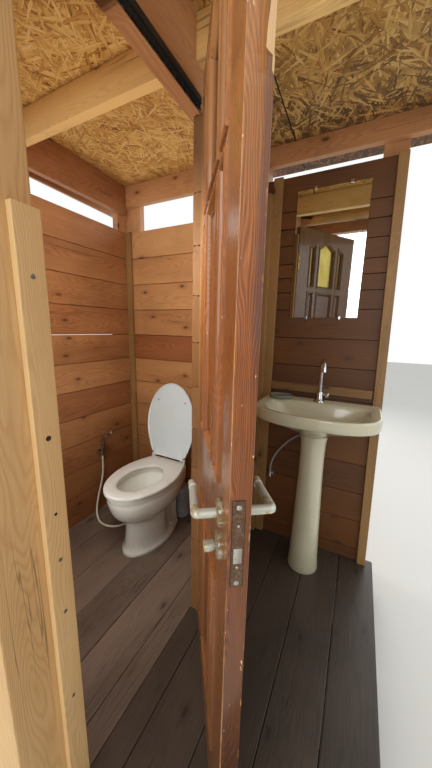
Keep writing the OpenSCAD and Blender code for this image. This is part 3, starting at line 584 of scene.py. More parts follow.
class Timber:
    """Boards collected in one mesh, each with its own grain directions, tone and redness."""

    def __init__(self, name):
        self.name = name
        self.points, self.faces, self.grain, self.look = [], [], [], []
        self.count = 0

    def absorb(self, bm, along=None, tone=0.5, red=0.3, warp=None):
        """Adds each loose part of bm as a board. along is its grain axis, or the longest one."""
        bmesh.ops.recalc_face_normals(bm, faces=bm.faces)
        bm.verts.index_update()
        base = len(self.points)
        grain = [None] * len(bm.verts)
        look = [None] * len(bm.verts)
        for part in loose_parts(bm):
            low = Vector([min(v.co[i] for v in part) for i in range(3)])
            high = Vector([max(v.co[i] for v in part) for i in range(3)])
            size, centre = high - low, (low + high) / 2
            order = sorted(range(3), key=lambda i: -size[i])
            if along is not None:
                order = [along] + [i for i in order if i != along]
            seed = chance(self.name, self.count)
            shade = min(1.0, max(0.0, tone + 0.5 * (chance(self.name, self.count, "tone") - 0.5)))
            self.count += 1
            for v in part:
                p = v.co - centre
                grain[v.index] = (p[order[0]] + 5 * seed, p[order[1]], p[order[2]])
                look[v.index] = (shade, red, seed)
        for v in bm.verts:
            self.points.append(warp(v.co) if warp else v.co.copy())
        self.grain += grain
        self.look += look
        self.faces += [[base + v.index for v in f.verts] for f in bm.faces]
        bm.free()

    def board(self, low, high, along, bevel, **more):
        self.absorb(box_bmesh(low, high, bevel), along, **more)

    def prism(self, outline, bevel, along, **more):
        """A part of the door as thick as the leaf, from an outline of distances and heights."""
        bm = bmesh.new()
        sides = [[bm.verts.new(leaf(w, h, x)) for w, h in outline] for x in (LEAF_IN, LEAF_OUT)]
        n = len(outline)
        for side in sides:
            bm.faces.new(side)
        for i in range(n):
            bm.faces.new([sides[0][i], sides[0][(i + 1) % n], sides[1][(i + 1) % n], sides[1][i]])
        bmesh.ops.recalc_face_normals(bm, faces=bm.faces)
        sharp = [e for e in bm.edges if e.calc_face_angle(0) > 0.5]
        self.absorb(rounded(bm, sharp, bevel), along, **more)

    def node(self, name, bevel, **more):
        """A copy of a CAD node with its long edges rounded."""
        bm = bmesh.new()
        bm.from_mesh(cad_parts[name].data)
        bmesh.ops.remove_doubles(bm, verts=bm.verts, dist=1e-5)
        bmesh.ops.dissolve_limit(bm, angle_limit=0.01, verts=bm.verts, edges=bm.edges)
        sharp = [e for e in bm.edges if len(e.link_faces) == 2 and e.calc_face_angle(0) > 0.5]
        self.absorb(rounded(bm, sharp, bevel, clamp_overlap=True), **more)

    def put(self, material, matrix=None, **more):
        mesh = new_mesh(self.name, self.points, self.faces, matrix)
        for key, values in (("grain", self.grain), ("look", self.look)):
            layer = mesh.attributes.new(key, "FLOAT_VECTOR", "POINT")
            layer.data.foreach_set("vector", [c for value in values for c in value])
        obj = settle(self.name, mesh, material, smooth=40.0, **more)
        for polygon in mesh.polygons:
            if min((mesh.vertices[a].co - mesh.vertices[b].co).length
                   for a, b in polygon.edge_keys) > FLAT_FROM:
                polygon.use_smooth = False
        return obj


def mm(*rows):
    """Rows of a table written in millimetres, in metres."""
    return [[value / 1000 for value in row] for row in rows]


def between(values, steps):
    """A value at each point of a smooth path, from those at the points it goes through."""
    made = []
    for a, b in zip(values, values[1:]):
        made += [a + (b - a) * k / steps for k in range(steps)]
    return made + [values[-1]]


def squarish(c, power):
    """A cosine or sine that fills the corners of its round out."""
    return math.copysign(abs(c) ** power, c)


def leaf(w, h, x):
    """A point of the door leaf from its distance from the hinge edge, height and thickness."""
    return Vector((x, -HINGE_GAP - w, LEAF_LOW + h))


def loft(rings, capped=True):
    """Points and faces that join rings of equal length."""
    n, last = len(rings[0]), len(rings) - 1
    points = [p for ring in rings for p in ring]
    faces = []
    for r in range(last):
        for i in range(n):
            j = (i + 1) % n
            faces.append((r * n + i, r * n + j, (r + 1) * n + j, (r + 1) * n + i))
    if capped:
        faces += [tuple(reversed(range(n))), tuple(range(last * n, last * n + n))]
    return points, faces


def hoop(rings):
    """Rings joined one after another and back to the first."""
    points, faces = loft(rings + [rings[0]], capped=False)
    count = len(points) - len(rings[0])
    return points[:count], [tuple(i % count for i in f) for f in faces]


def turned_rings(centre, profile, normal, n):
    """Circles for a profile of radius and distance along the axis, in millimetres."""
    axis = Vector(normal).normalized()
    turn = Vector((0, 0, 1)).rotation_difference(axis).to_matrix()
    spokes = [2 * math.pi * i / n for i in range(n)]
    return [[Vector(centre) + axis * z + turn @ Vector((r * math.cos(a), r * math.sin(a), 0))
             for a in spokes] for r, z in mm(*profile)]


def lathe(centre, profile, normal=(0, 0, 1), n=24):
    """A turned shape, capped at both ends of its profile."""
    return loft(turned_rings(centre, profile, normal, n))


def ring_round(centre, profile, normal=(0, 0, 1), n=28):
    """A turned ring whose closed profile doesn't reach the axis."""
    return hoop(turned_rings(centre, profile, normal, n))


def sweep(path, radii, n):
    """A tube with one radius, or one at each point of its path."""
    rings, side = [], None
    for i, p in enumerate(path):
        ahead = (path[min(i + 1, len(path) - 1)] - path[max(i - 1, 0)]).normalized()
        if side is None:
            side = ahead.orthogonal().normalized()
        side = (side - ahead * side.dot(ahead)).normalized()
        other = ahead.cross(side)
        r = radii[i] if isinstance(radii, list) else radii
        rings.append([p + (side * math.cos(a) + other * math.sin(a)) * r
                      for a in (2 * math.pi * k / n for k in range(n))])
    return loft(rings)


def smooth_path(points, steps):
    """A Catmull-Rom line through the points."""
    points = [Vector(p) for p in points]
    ends = [points[0]] + points + [points[-1]]
    line = []
    for a, b, c, d in zip(ends, ends[1:], ends[2:], ends[3:]):
        for k in range(steps):
            t = k / steps
            line.append(0.5 * (2 * b + (c - a) * t + (2 * a - 5 * b + 4 * c - d) * t * t
                               + (3 * b - a - 3 * c + d) * t ** 3))
    return line + [points[-1]]


class Pile:
    """Several closed shapes in one piece."""

    def __init__(self, *shapes):
        self.points, self.faces = [], []
        for made in shapes:
            self.add(made)

    def add(self, made, matrix=None):
        points, faces = made
        base = len(self.points)
        self.points += [matrix @ Vector(p) if matrix is not None else Vector(p) for p in points]
        self.faces += [tuple(base + i for i in f) for f in faces]

    def put(self, name, material, **more):
        put(name, (self.points, self.faces), material, **more)


def block(low, high, bevel, segments=2):
    """A bevelled box."""
    bm = box_bmesh(low, high, bevel, segments)
    bm.verts.index_update()
    made = [v.co.copy() for v in bm.verts], [[v.index for v in f.verts] for f in bm.faces]
    bm.free()
    return made


def screw(centre, normal, r=4):
    """A countersunk screw head with a cross recess, standing 0.6 mm proud."""
    return lathe(centre, ((r, -1.5), (r, 0.2), (r * 0.85, 0.6), (r * 0.45, 0.7), (r * 0.4, 0.1),
                          (0.01, 0)), normal, 20)


# Hoses: their routes in millimetres from a corner

SPRAYER_PATH = [
    (36.5, -342.5, 408), (36.5, -342.5, 378), (36.5, -342.5, 345), (35.5, -343.5, 310),
    (34.5, -347.5, 275), (32.5, -354.5, 240), (31.5, -364.5, 205), (31.5, -376.5, 170),
    (33.5, -390.5, 135), (38.5, -406.5, 100), (48.5, -423.5, 67), (66.5, -439.5, 38),
    (91.5, -453.5, 17), (122.5, -464.5, 8), (156.5, -468.5, 7), (190.5, -465.5, 7),
    (221.5, -455.5, 7), (247.5, -436.5, 7), (266.5, -410.5, 7), (278.5, -378.5, 7),
    (284.5, -344.5, 7), (286.5, -308.5, 7), (286.5, -272.5, 7), (284.5, -236.5, 7),
    (281.5, -200.5, 8), (278.5, -166.5, 14), (276.5, -134.5, 28), (275.5, -106.5, 50),
    (274.5, -84.5, 80), (274.5, -64.5, 97), (274.5, -52, 100), (274.5, -38.5, 100)]
TAP_PATH = [
    (-25.5, -66.5, -140), (-25.5, -66.5, -156), (-29.5, -65.5, -170), (-38.5, -62.5, -182),
    (-53.5, -59.5, -192), (-72.5, -55.5, -201), (-92.5, -51.5, -212), (-113.5, -47.5, -228),
    (-133.5, -43.5, -246), (-152.5, -40.5, -266), (-170.5, -37.5, -288), (-187.5, -34.5, -311),
    (-203.5, -32.5, -334), (-217.5, -30.5, -358), (-229.5, -29.5, -383), (-238.5, -29.5, -409),
    (-244.5, -29.5, -435), (-246.5, -29.5, -461), (-246.5, -29.5, -486)]


def hose(name, path, corner, diameter, material, node):
    """A hose as one curve along the route of its CAD solid."""
    line = smooth_path([Vector(corner) + Vector(p) / 1000 for p in path], 3)
    curve = bpy.data.curves.new(name, "CURVE")
    curve.dimensions = "3D"
    curve.bevel_depth = diameter / 2
    curve.bevel_resolution = 5
    curve.use_fill_caps = True
    spline = curve.splines.new("POLY")
    spline.points.add(len(line) - 1)
    for point, at in zip(spline.points, line):
        point.co = (*at, 1)
    spline.use_smooth = True
    obj = settle(name, curve, material, nodes=(node,))
    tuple(line[0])
    return line


sprayer_line = hose("sprayer_hose_tube", SPRAYER_PATH, (LEFT_IN, BACK_IN, FLOOR), 0.013,
                    "hose", "sprayer_hose")
tap_line = hose("tap_hose_tube", TAP_PATH, (BASIN_X, BACK_IN, RIM_Z), 0.010,
                "grey_hose", "tap_hose")

# Boards and timbers

COURSES = (0.0, 0.189, 0.360, 0.531, 0.702, 0.873, 1.044, 1.215, 1.386, 1.557, 1.728, 1.900)
SHORT_COURSES = COURSES[:-1] + (1.956,)
SINK_COURSES = (0.0, 0.070, 0.241, 0.406, 0.5715, 0.742, 0.912, 1.082, 1.230, 1.378, 1.469,
                1.544, 1.614, 1.704, 1.787, 1.869, 2.032)
SINK_END_LOW, SINK_END_TOP = OUTER_RIGHT - 0.038, OUTER_RIGHT - 0.089
JOINT = 0.0032
TONGUE_W, TONGUE_H = 0.005, 0.006
SCREWS_OUT, BATTEN_FACE = 0.0352, 0.0202
STOP_FACE, STOP_Y = 0.2012, -0.645


def boarded(node, courses, along, tone, material="wall", slot="wall_boards", red=0.25,
            tones=None, warp=None, slit=(0, 0.0)):
    """Boards one above another, with a tongue in each joint.

    tones gives single boards their own tone and redness. A slit is a joint that is open up to
    a place along the wall.
    """
    low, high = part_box(node)
    timber = Timber(node + "_boards")
    thick = 1 - along
    middle = (low[thick] + high[thick]) / 2
    for i, (h0, h1) in enumerate(zip(courses, courses[1:])):
        a, b = low.copy(), high.copy()
        a.z = max(low.z, FLOOR + h0 + (JOINT / 2 if i else 0))
        b.z = min(high.z, FLOOR + h1 - JOINT / 2)
        # no two boards lie quite flush
        set_back = 0.0012 * chance(node, i, "flush")
        a[thick] += set_back
        b[thick] -= set_back
        shade, redness = (tones or {}).get(i, (tone, red))
        timber.board(a, b, along, 0.0022, tone=shade, red=redness, warp=warp)
        if i:
            a[thick], b[thick] = middle - TONGUE_W, middle + TONGUE_W
            a.z, b.z = FLOOR + h0 - TONGUE_H, FLOOR + h0 + TONGUE_H
            a[along] = slit[1] if slit[0] == i else a[along] + 0.002
            b[along] -= 0.002
            timber.board(a, b, along, 0.001, tone=1.0, warp=warp)
    timber.put(material, nodes=(node,), slot=slot)


def lean(v):
    """The sink wall's free end leans inwards towards its top."""
    end = SINK_END_LOW + (SINK_END_TOP - SINK_END_LOW) * (v.z - FLOOR) / SINK_COURSES[-1]
    share = (v.x - PARTITION_RIGHT) / (SINK_END_LOW - PARTITION_RIGHT)
    return Vector((PARTITION_RIGHT + share * (end - PARTITION_RIGHT), v.y, v.z))


def floor_boards(node, material, seams, tone):
    """Wide boards from front to back, their ends a little uneven."""
    low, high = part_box(node)
    timber = Timber(node + "_planks")
    for i, (x0, x1) in enumerate(zip(seams, seams[1:])):
        a = Vector((x0 + 0.001, low.y + 0.004 * chance(node, i, "front"), low.z))
        b = Vector((x1 - 0.001, high.y, high.z - 0.0008 * chance(node, i, "top")))
        # the outermost board's edge is worn rounder
        edge = 0.006 if x1 == OUTER_RIGHT else 0.0025
        timber.board(a, b, 1, edge, tone=tone + 0.25 * (chance(node, i, "shade") - 0.5), red=0.2)
    timber.put(material, nodes=(node,), slot="floor_boards")


def timbers():
    """The posts, beams and battens: node, material, slot, bevel, tone and redness."""
    for node, material, slot, bevel, tone, red in (
            ("bearers", "ground", "bearer_timber", 0.004, 0.5, 0.2),
            ("front_left_post", "pale", "pale_timber", 0.004, 0.5, 0.1),
            ("back_posts", "beam", "pale_timber", 0.003, 0.35, 0.2),
            ("strike_post", "pale", "pale_timber", 0.004, 0.55, 0.1),
            ("porch_post", "pale", "pale_timber", 0.004, 0.5, 0.1),
            ("hinge_jamb", "porch_batten", "pale_timber", 0.003, 0.6, 0.2),
            ("left_beam", "beam", "beam_timber", 0.003, 0.95, 0.5),
            ("back_beam", "beam", "beam_timber", 0.003, 0.4, 0.2),
            ("porch_back_beam", "beam", "beam_timber", 0.003, 0.75, 0.35),
            ("front_beam", "beam", "beam_timber", 0.003, 0.5, 0.3),
            ("door_header", "beam", "beam_timber", 0.003, 0.4, 0.3),
            ("rafter", "rafter", "beam_timber", 0.003, 0.25, 0.0),
            ("side_fascias", "wall", "beam_timber", 0.003, 0.5, 0.3),
            ("wall_battens", "porch_batten", "pale_timber", 0.003, 0.45, 0.1),
            ("wall_rail", "porch_batten", "dark_wall_boards", 0.003, 0.8, 0.2),
            ("stop_batten", "pale", "pale_timber", 0.002, 0.2, 0.0)):
        timber = Timber(node + "_timber")
        timber.node(node, bevel, tone=tone, red=red)
        timber.put(material, nodes=(node,), slot=slot)


def peeled_log():
    """The round purlin under the roof, uneven all along and with knots."""
    low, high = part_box("log_purlin")
    middle = (low + high) / 2
    radius = (high.z - low.z) / 2
    knots = [(low.x + 0.25 + 0.27 * i, 2.4 * i) for i in range(6)]
    rings, count, around = [], 150, 40
    for i in range(count + 1):
        x = low.x + (high.x - low.x) * i / count
        ring = []
        for k in range(around):
            a = 2 * math.pi * k / around
            bump = noise.noise(Vector((x * 4, math.cos(a) * 1.2, math.sin(a) * 1.2)))
            fine = noise.noise(Vector((x * 22, math.cos(a) * 4, math.sin(a) * 4)))
            r = radius * (0.945 + 0.035 * bump + 0.012 * fine)
            for knot_x, knot_a in knots:
                gap = math.atan2(math.sin(a - knot_a), math.cos(a - knot_a))
                r += 0.004 * math.exp(-((x - knot_x) / 0.018) ** 2 - (gap / 0.35) ** 2)
            ring.append(Vector((x, middle.y + r * math.cos(a), middle.z + r * math.sin(a))))
        rings.append(ring)
    put("peeled_log", loft(rings), "log", nodes=("log_purlin",), slot="peeled_log")


def brush_strip():
    """The brush strip on the header: a dark carrier with a comb of bristles under it."""
    low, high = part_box("brush_seal")
    put("brush_holder", block((low.x, low.y, low.z + 0.001), (low.x + 0.0012, high.y, high.z),
                              0.0003), "bolt")
    brush = Pile(block((low.x, low.y, low.z + 0.020), (low.x + 0.009, high.y, high.z), 0.001))
    half, deep = Vector((0, 0.0006, 0)), Vector((0.0008, 0, 0))
    count = 760
    for i in range(count):
        y = low.y + 0.002 + (high.y - low.y - 0.004) * i / count
        top = Vector((low.x + 0.003 + 0.003 * chance("brush", i), y, low.z + 0.022))
        lean_x = 0.004 * (chance("brush", i, "x") - 0.2)
        lean_y = 0.003 * (chance("brush", i, "y") - 0.5)
        tip = Vector((top.x + lean_x, y + lean_y, low.z + 0.004 * chance("brush", i, "z")))
        near = [top - half, top + half, tip + half, tip - half]
        brush.add((near + [p + deep for p in near], (
            (0, 1, 2, 3), (7, 6, 5, 4), (0, 3, 7, 4), (1, 5, 6, 2), (0, 4, 5, 1), (3, 2, 6, 7))))
    brush.put("brush_strip", "brush", nodes=("brush_seal",), slot="brush")


def felt_laps():
    """Overlapping strips of felt, with bitumen squeezed out, nailed at the laps and sides."""
    low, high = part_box("roof_felt")
    strips, bleed = Pile(), Pile()
    count, lap, thick = 3, 0.05, 0.0012
    step = (high.y - low.y) / count
    for i in range(count):
        a = low.y + i * step
        b = min(high.y, a + step + (lap if i < count - 1 else 0))
        top = thick + 0.0006 * (count - i)
        rings = []
        for k in range(25):
            y = a + (b - a) * k / 24
            base = roof_z(y) + ROOF_SHEET
            rings.append([Vector((x, y, base + z)) for x, z in (
                (low.x, 0.0002), (high.x, 0.0002), (high.x, top), (low.x, top))])
        strips.add(loft(rings))
    strips.put("felt_strips", "felt", nodes=("roof_felt",), slot="roof_felt")
    for i in range(count - 1):
        edge = low.y + (i + 1) * step + lap
        base = ROOF_SHEET + thick + 0.0006 * (count - i - 1)
        rings = []
        for k in range(121):
            x = low.x + 0.002 + (high.x - low.x - 0.004) * k / 120
            wide = 0.007 + 0.005 * noise.noise(Vector((x * 14, edge, 0)))
            rings.append([Vector((x, y, roof_z(y) + base + up)) for y, up in (
                (edge - 0.002, 0.0001), (edge + wide, 0.0001), (edge + 0.6 * wide, 0.0012),
                (edge - 0.002, 0.0012))])
        bleed.add(loft(rings))
        for k in range(30):
            x = low.x + 0.03 + (high.x - low.x - 0.06) * k / 29
            y = edge - 0.022
            bleed.add(screw((x, y, roof_z(y) + base + 0.0008), (0, 0, 1), 5))
    bleed.put("felt_bitumen", "bitumen")
    nails = Pile()
    for x in (ROOF_LEFT + 0.03, ROOF_RIGHT - 0.03):
        for i in range(24):
            y = ROOF_FRONT + 0.03 + i * (ROOF_BACK - ROOF_FRONT - 0.06) / 23
            nails.add(screw((x, y, roof_z(y) + 0.0150), (0, 0, 1), 5))
    nails.put("felt_nails", "screw")


def board_screws():
    """Screws in the boards from outside and in the battens, and two holes in the stop batten as
    dark discs of painted shade.
    """
    fixings = Pile()
    for h0, h1 in zip(COURSES, COURSES[1:]):
        z = FLOOR + (h0 + h1) / 2
        for x in (LEFT_IN + 0.02, PARTITION_LEFT - 0.02):
            fixings.add(screw((x, BACK_IN + SCREWS_OUT, z), (0, 1, 0)))
        for y in (FRONT_IN + 0.03, BACK_IN - 0.03):
            fixings.add(screw((LEFT_IN - SCREWS_OUT, y, z), (-1, 0, 0)))
        for x in (LEFT_IN + 0.03, 0.06):
            fixings.add(screw((x, FRONT_IN - SCREWS_OUT, z), (0, -1, 0)))
    for z in (0.518, 0.765, 0.900, 1.483):
        fixings.add(screw((STOP_FACE, STOP_Y, z), (1, 0, 0), 4.5))
    for z in (0.45, 1.15, 1.85):
        end = lean(Vector((SINK_END_LOW - 0.021, 0, z)))
        for x in (0.270, LEFT_IN + 0.022, end.x):
            fixings.add(screw((x, BACK_IN - BATTEN_FACE, z), (0, -1, 0)))
    fixings.put("board_screws", "screw")
    holes = [lathe((STOP_FACE, STOP_Y, z), ((r, -1), (r, 0.1)), (1, 0, 0), 20)
             for z, r in ((1.011, 3.5), (1.179, 5.5))]
    Pile(*holes).put("batten_holes", "hole_shade")


# the left wall's boards are set darker overall as painted shade, the back wall's paler as painted
# light
boarded("left_wall", COURSES, 1, 0.72, slit=(7, 0.477),
        tones={7: (0.85, 0.5), 4: (0.8, 0.6), 10: (0.6, 0.4)})
boarded("back_wall", COURSES, 0, 0.28,
        tones={6: (0.78, 0.75), 0: (0.6, 0.5), 7: (0.4, 0.3), 10: (0.0, 0.0)})
boarded("front_wall", COURSES, 0, 0.5)
boarded("partition_wall", SHORT_COURSES, 1, 0.5)
boarded("hinge_post", SHORT_COURSES, 1, 0.4, "porch_batten", "pale_timber", 0.6)
boarded("sink_wall", SINK_COURSES, 0, 0.6, "dark_wall", "dark_wall_boards", warp=lean)
floor_boards("toilet_floor", "floor", (-0.8215, -0.777, -0.607, -0.437, -0.267, -0.097, 0.073,
                                       PARTITION_LEFT), 0.35)
floor_boards("porch_floor", "porch_floor", (PARTITION_LEFT, 0.243, 0.413, 0.5805, 0.752,
                                            OUTER_RIGHT), 0.6)
timbers()
peeled_log()
brush_strip()
dress("roof_sheets", "flake")
felt_laps()
board_screws()

# Door

COLUMNS = ((0.120, 0.052), (0.217, 0.166), (0.428, 0.052))
PANEL_ROWS = ((0.180, 0.690), (0.945, 1.545))
LIGHT_LOW, LIGHT_TOP, SLANT, RISE = 1.590, 1.882, 0.022, 0.042
OUTER_NECK, INNER_NECK = 0.062, 0.052
PLATE_X, PLATE_LOW, PLATE_HIGH = LEAF_MID - 0.002, 0.942, 1.114
MITRE_GAP = 0.0001
# Moulding profile: distance into the opening, height over the leaf's face
PANEL_MOULDING = mm((-10, -0.5), (-9.9, 3.2), (-6.8, 5.8), (-1.5, 5.8), (1.8, 2.6), (4.8, -3.5),
                    (10, -8), (10.2, -12.8), (-1, -12.8), (-1, -2))
LIGHT_MOULDING = PANEL_MOULDING[:7] + mm((10.8, -17.8), (-1, -17.8), (-1, -2))


def light_top(i, share):
    """Height of a light's top edge at a share of its width."""
    if i == 1:
        return LIGHT_TOP + RISE * (0.5 - 0.5 * math.cos(2 * math.pi * share))
    return LIGHT_TOP + (share - 0.5) * (SLANT if i == 0 else -SLANT)


def light_outline(i):
    left, width = COLUMNS[i]
    steps = 16 if i == 1 else 1
    return ([(left, LIGHT_LOW), (left + width, LIGHT_LOW)]
            + [(left + width * k / steps, light_top(i, k / steps)) for k in range(steps, -1, -1)])


def oblong(w0, w1, h0, h1):
    return [(w0, h0), (w1, h0), (w1, h1), (w0, h1)]


def inset(outline, distance):
    """The outline moved inwards, with mitred corners."""
    moved = []
    for i, (w, h) in enumerate(outline):
        before, after = outline[i - 1], outline[(i + 1) % len(outline)]
        one = Vector((w - before[0], h - before[1])).normalized()
        two = Vector((after[0] - w, after[1] - h)).normalized()
        one, two = Vector((-one.y, one.x)), Vector((-two.y, two.x))
        way = (one + two) / (1 + one.dot(two))
        moved.append((w + way.x * distance, h + way.y * distance))
    return moved


def solid(rings):
    bm = bmesh.new()
    points, faces = loft(rings)
    verts = [bm.verts.new(p) for p in points]
    for f in faces:
        bm.faces.new([verts[i] for i in f])
    return bm


def mould(timber, outline, runs, profile):
    """Mouldings round an opening on both faces, one piece for each run of its corners."""
    for face, sign in ((LEAF_OUT, 1), (LEAF_IN, -1)):
        for run in runs:
            rings = [[leaf(*inset(outline, d)[i], face + sign * up) for d, up in profile]
                     for i in run]
            for end, beside in ((0, 1), (-1, -2)):
                pull = (rings[beside][0] - rings[end][0]).normalized() * MITRE_GAP
                rings[end] = [point + pull for point in rings[end]]
            timber.absorb(solid(rings), tone=0.45, red=0.5)


def lock_stile(timber):
    """The stile with the lock. A splinter is gone from its outer arris near the top.

    Returns the numbers of the torn faces.
    """
    heights = ([0.0] + [0.06 * k for k in range(1, 26)] + [1.56 + 0.004 * k for k in range(48)]
               + [1.80, 1.86, 1.93, DOOR_H])
    rings, torn = [], []
    inner = DOOR_W - STILE
    for h in heights:
        ragged = 0.5 + noise.noise(Vector((h * 45, 3.1, 0)))
        # a thin strip below, then the widest place, tapering off upwards
        step = max(0.0, min(1.0, (h - 1.596) / 0.008))
        taper = max(0.0, min(1.0, (1.725 - h) / 0.120)) ** 0.9
        strip = 0.0024 if 1.578 < h < 1.602 else 0.0
        lost = step * taper * (0.0110 + 0.0022 * ragged) + strip
        a, b = 0.0010 + lost, 0.0010 + 0.36 * lost
        torn.append(lost > 0.0004)
        worn = 0.0012 + 0.0006 * noise.noise(Vector((h * 9, 0, 0)))
        rings.append([leaf(w, h, x) for x, w in (
            (LEAF_IN, inner + 0.0008), (LEAF_IN + 0.0008, inner), (LEAF_OUT - 0.0008, inner),
            (LEAF_OUT, inner + 0.0008), (LEAF_OUT, DOOR_W - b),
            (LEAF_OUT - 0.45 * a, DOOR_W - 0.55 * b), (LEAF_OUT - a, DOOR_W),
            (LEAF_IN + worn, DOOR_W), (LEAF_IN + 0.3 * worn, DOOR_W - 0.3 * worn),
            (LEAF_IN, DOOR_W - worn))])
    first, n = len(timber.faces), len(rings[0])
    timber.absorb(solid(rings), 2, tone=0.45, red=0.75)
    return [first + r * n + i for r in range(len(rings) - 1) if torn[r] or torn[r + 1]
            for i in (4, 5)]


def door_leaf():
    timber = Timber("door_leaf")
    torn = lock_stile(timber)
    left, right = STILE, DOOR_W - STILE
    bars = [(oblong(0, STILE, 0, DOOR_H), 0.001, 2)]
    (lower, middle), (lock_rail, upper) = PANEL_ROWS
    for h0, h1 in ((0, lower), (middle, lock_rail), (upper, LIGHT_LOW)):
        bars.append((oblong(left, right, h0, h1), 0.0008, 1))
    for a, b, i, j in ((0.172, 0.217, 0, 1), (0.383, 0.428, 1, 2)):
        bars += [(oblong(a, b, h0, h1), 0.0008, 2) for h0, h1 in PANEL_ROWS]
        bars.append(([(a, LIGHT_LOW), (b, LIGHT_LOW), (b, light_top(j, 0)), (a, light_top(i, 1))],
                     0.0008, 2))
    under = [point for i in range(3) for point in reversed(light_outline(i)[2:])]
    bars.append((under + [(right, DOOR_H), (left, DOOR_H)], 0.0008, 1))
    for outline, bevel, along in bars:
        timber.prism(outline, bevel, along, tone=0.5, red=0.6)
    for i, (w, width) in enumerate(COLUMNS):
        for h0, h1 in PANEL_ROWS:
            mould(timber, oblong(w, w + width, h0, h1), ((0, 1), (1, 2), (2, 3), (3, 0)),
                  PANEL_MOULDING)
        opening = light_outline(i)
        last = len(opening) - 1
        mould(timber, opening, ((0, 1), (1, 2), tuple(range(2, last + 1)), (last, 0)),
              LIGHT_MOULDING)
    obj = timber.put("door", DOOR_POSE, body=DOOR, nodes=("door_frame",), slot="door_wood")
    obj.data.materials.append(MATERIALS["chip"])
    for i in torn:
        obj.data.polygons[i].material_index = 1


def door_fields():
    """Raised panels with sloping margins."""
    timber = Timber("door_fields")
    half = ((0.0178, 0.0130), (0.0170, 0.0127), (0.0085, 0.0072), (0, 0.0070))
    profile = [(d, -x) for d, x in half] + list(reversed(half))
    for w, width in COLUMNS:
        for h0, h1 in PANEL_ROWS:
            opening = oblong(w, w + width, h0, h1)
            timber.absorb(solid([[leaf(a, b, LEAF_MID + x) for a, b in inset(opening, d)]
                                 for d, x in profile]), 2, tone=0.55, red=0.35)
    timber.put("door", DOOR_POSE, body=DOOR, nodes=("door_panels",), slot="door_wood")


def rose(x, side, z, bore):
    """A thick round rose, domed, with a worn rim. Its bore's radius is in millimetres."""
    profile = ((bore, 0), (26.8, 0), (27, 0.8), (27, 5.2), (26.4, 8), (24.8, 9.6), (22, 10.4),
               (20.4, 9.8), (18, 10.4), (bore + 2, 11.7), (bore, 12))
    return ring_round(leaf(SPINDLE_W, z - LEAF_LOW, x), profile, (side, 0, 0), 40)


def roses():
    pile = Pile(rose(LEAF_OUT, 1, HANDLE_Z, 10.5), rose(LEAF_IN, -1, HANDLE_Z, 10.5),
                rose(LEAF_IN, -1, THUMB_Z, 7))
    pile.put("door_rose_rings", "rose", body=DOOR, nodes=("door_roses",), matrix=DOOR_POSE)


def lever_path(face, side, neck):
    """Out from the rose, round a sharp corner, along the leaf, with a slight kink near the end."""
    centre = leaf(SPINDLE_W, HANDLE_Z - LEAF_LOW, face)
    line = [(0.0006, 0.0), (0.012, 0.0), (0.030, 0.0)]
    line += [(neck + out, along) for out, along in (
        (-0.0080, 0.0), (-0.0028, 0.0006), (-0.0006, 0.0028), (0.0, 0.0080), (-0.0004, 0.035),
        (-0.0010, 0.065), (-0.0016, 0.092), (-0.0014, 0.100), (0.0004, 0.112),
        (0.0012, 0.1170), (0.0014, 0.1195))]
    return smooth_path([centre + Vector((side * out, along, 0)) for out, along in line], 2)


def levers():
    bars, collars = Pile(), Pile()
    radii = between([0.0095] * 8 + [0.0094, 0.0090, 0.0088, 0.0082, 0.0070, 0.0035], 2)
    for face, side, neck in ((LEAF_OUT, 1, OUTER_NECK), (LEAF_IN, -1, INNER_NECK)):
        path = lever_path(face, side, neck)
        bars.add(sweep(path, radii, 28))
        # a pale collar where the end piece starts
        collars.add(ring_round(path[18], ((8.6, -3.4), (9.9, -2.6), (9.9, 3.6), (8.6, 4.6)),
                               path[20] - path[18]))
    bars.put("lever_bars", "handle", body=LEVERS, nodes=("lever_handles",), slot="handle_metal",
             matrix=DOOR_POSE)
    collars.put("lever_collars", "seat", body=LEVERS, matrix=DOOR_POSE)


def thumb_turn():
    start = leaf(SPINDLE_W, THUMB_Z - LEAF_LOW, LEAF_IN - 0.0006)
    turns = [2 * math.pi * k / 32 for k in range(32)]
    knob = [[start + Vector((-out, half_w * squarish(math.cos(a), 0.6),
                             half_h * squarish(math.sin(a), 0.6))) for a in turns]
            for out, half_w, half_h in mm(
                (12.6, 7, 6.2), (14, 8.8, 7.8), (19, 10.8, 8.7), (25, 11.6, 8.9),
                (31, 11.9, 8.9), (33.6, 11.7, 8.6), (34.3, 10.6, 7.5))]
    thumb = Pile(lathe(start, ((6, 0), (6, 16), (6, 30)), (-1, 0, 0)), loft(knob))
    thumb.put("thumb_knob", "handle", body=THUMB, nodes=("thumb_turn",), slot="handle_metal",
              matrix=DOOR_POSE)


def plate_ring(y, half, low, high):
    """An upright rounded outline on the lock edge, at a height over it."""
    ring, radius = [], 0.0035
    for cx, cz, start in ((half - radius, high - radius, 0), (radius - half, high - radius, 90),
                          (radius - half, low + radius, 180), (half - radius, low + radius, 270)):
        for k in range(5):
            a = math.radians(start + 22.5 * k)
            ring.append(Vector((PLATE_X + cx + radius * math.cos(a), y - LOCK_EDGE,
                                cz + radius * math.sin(a))))
    return ring


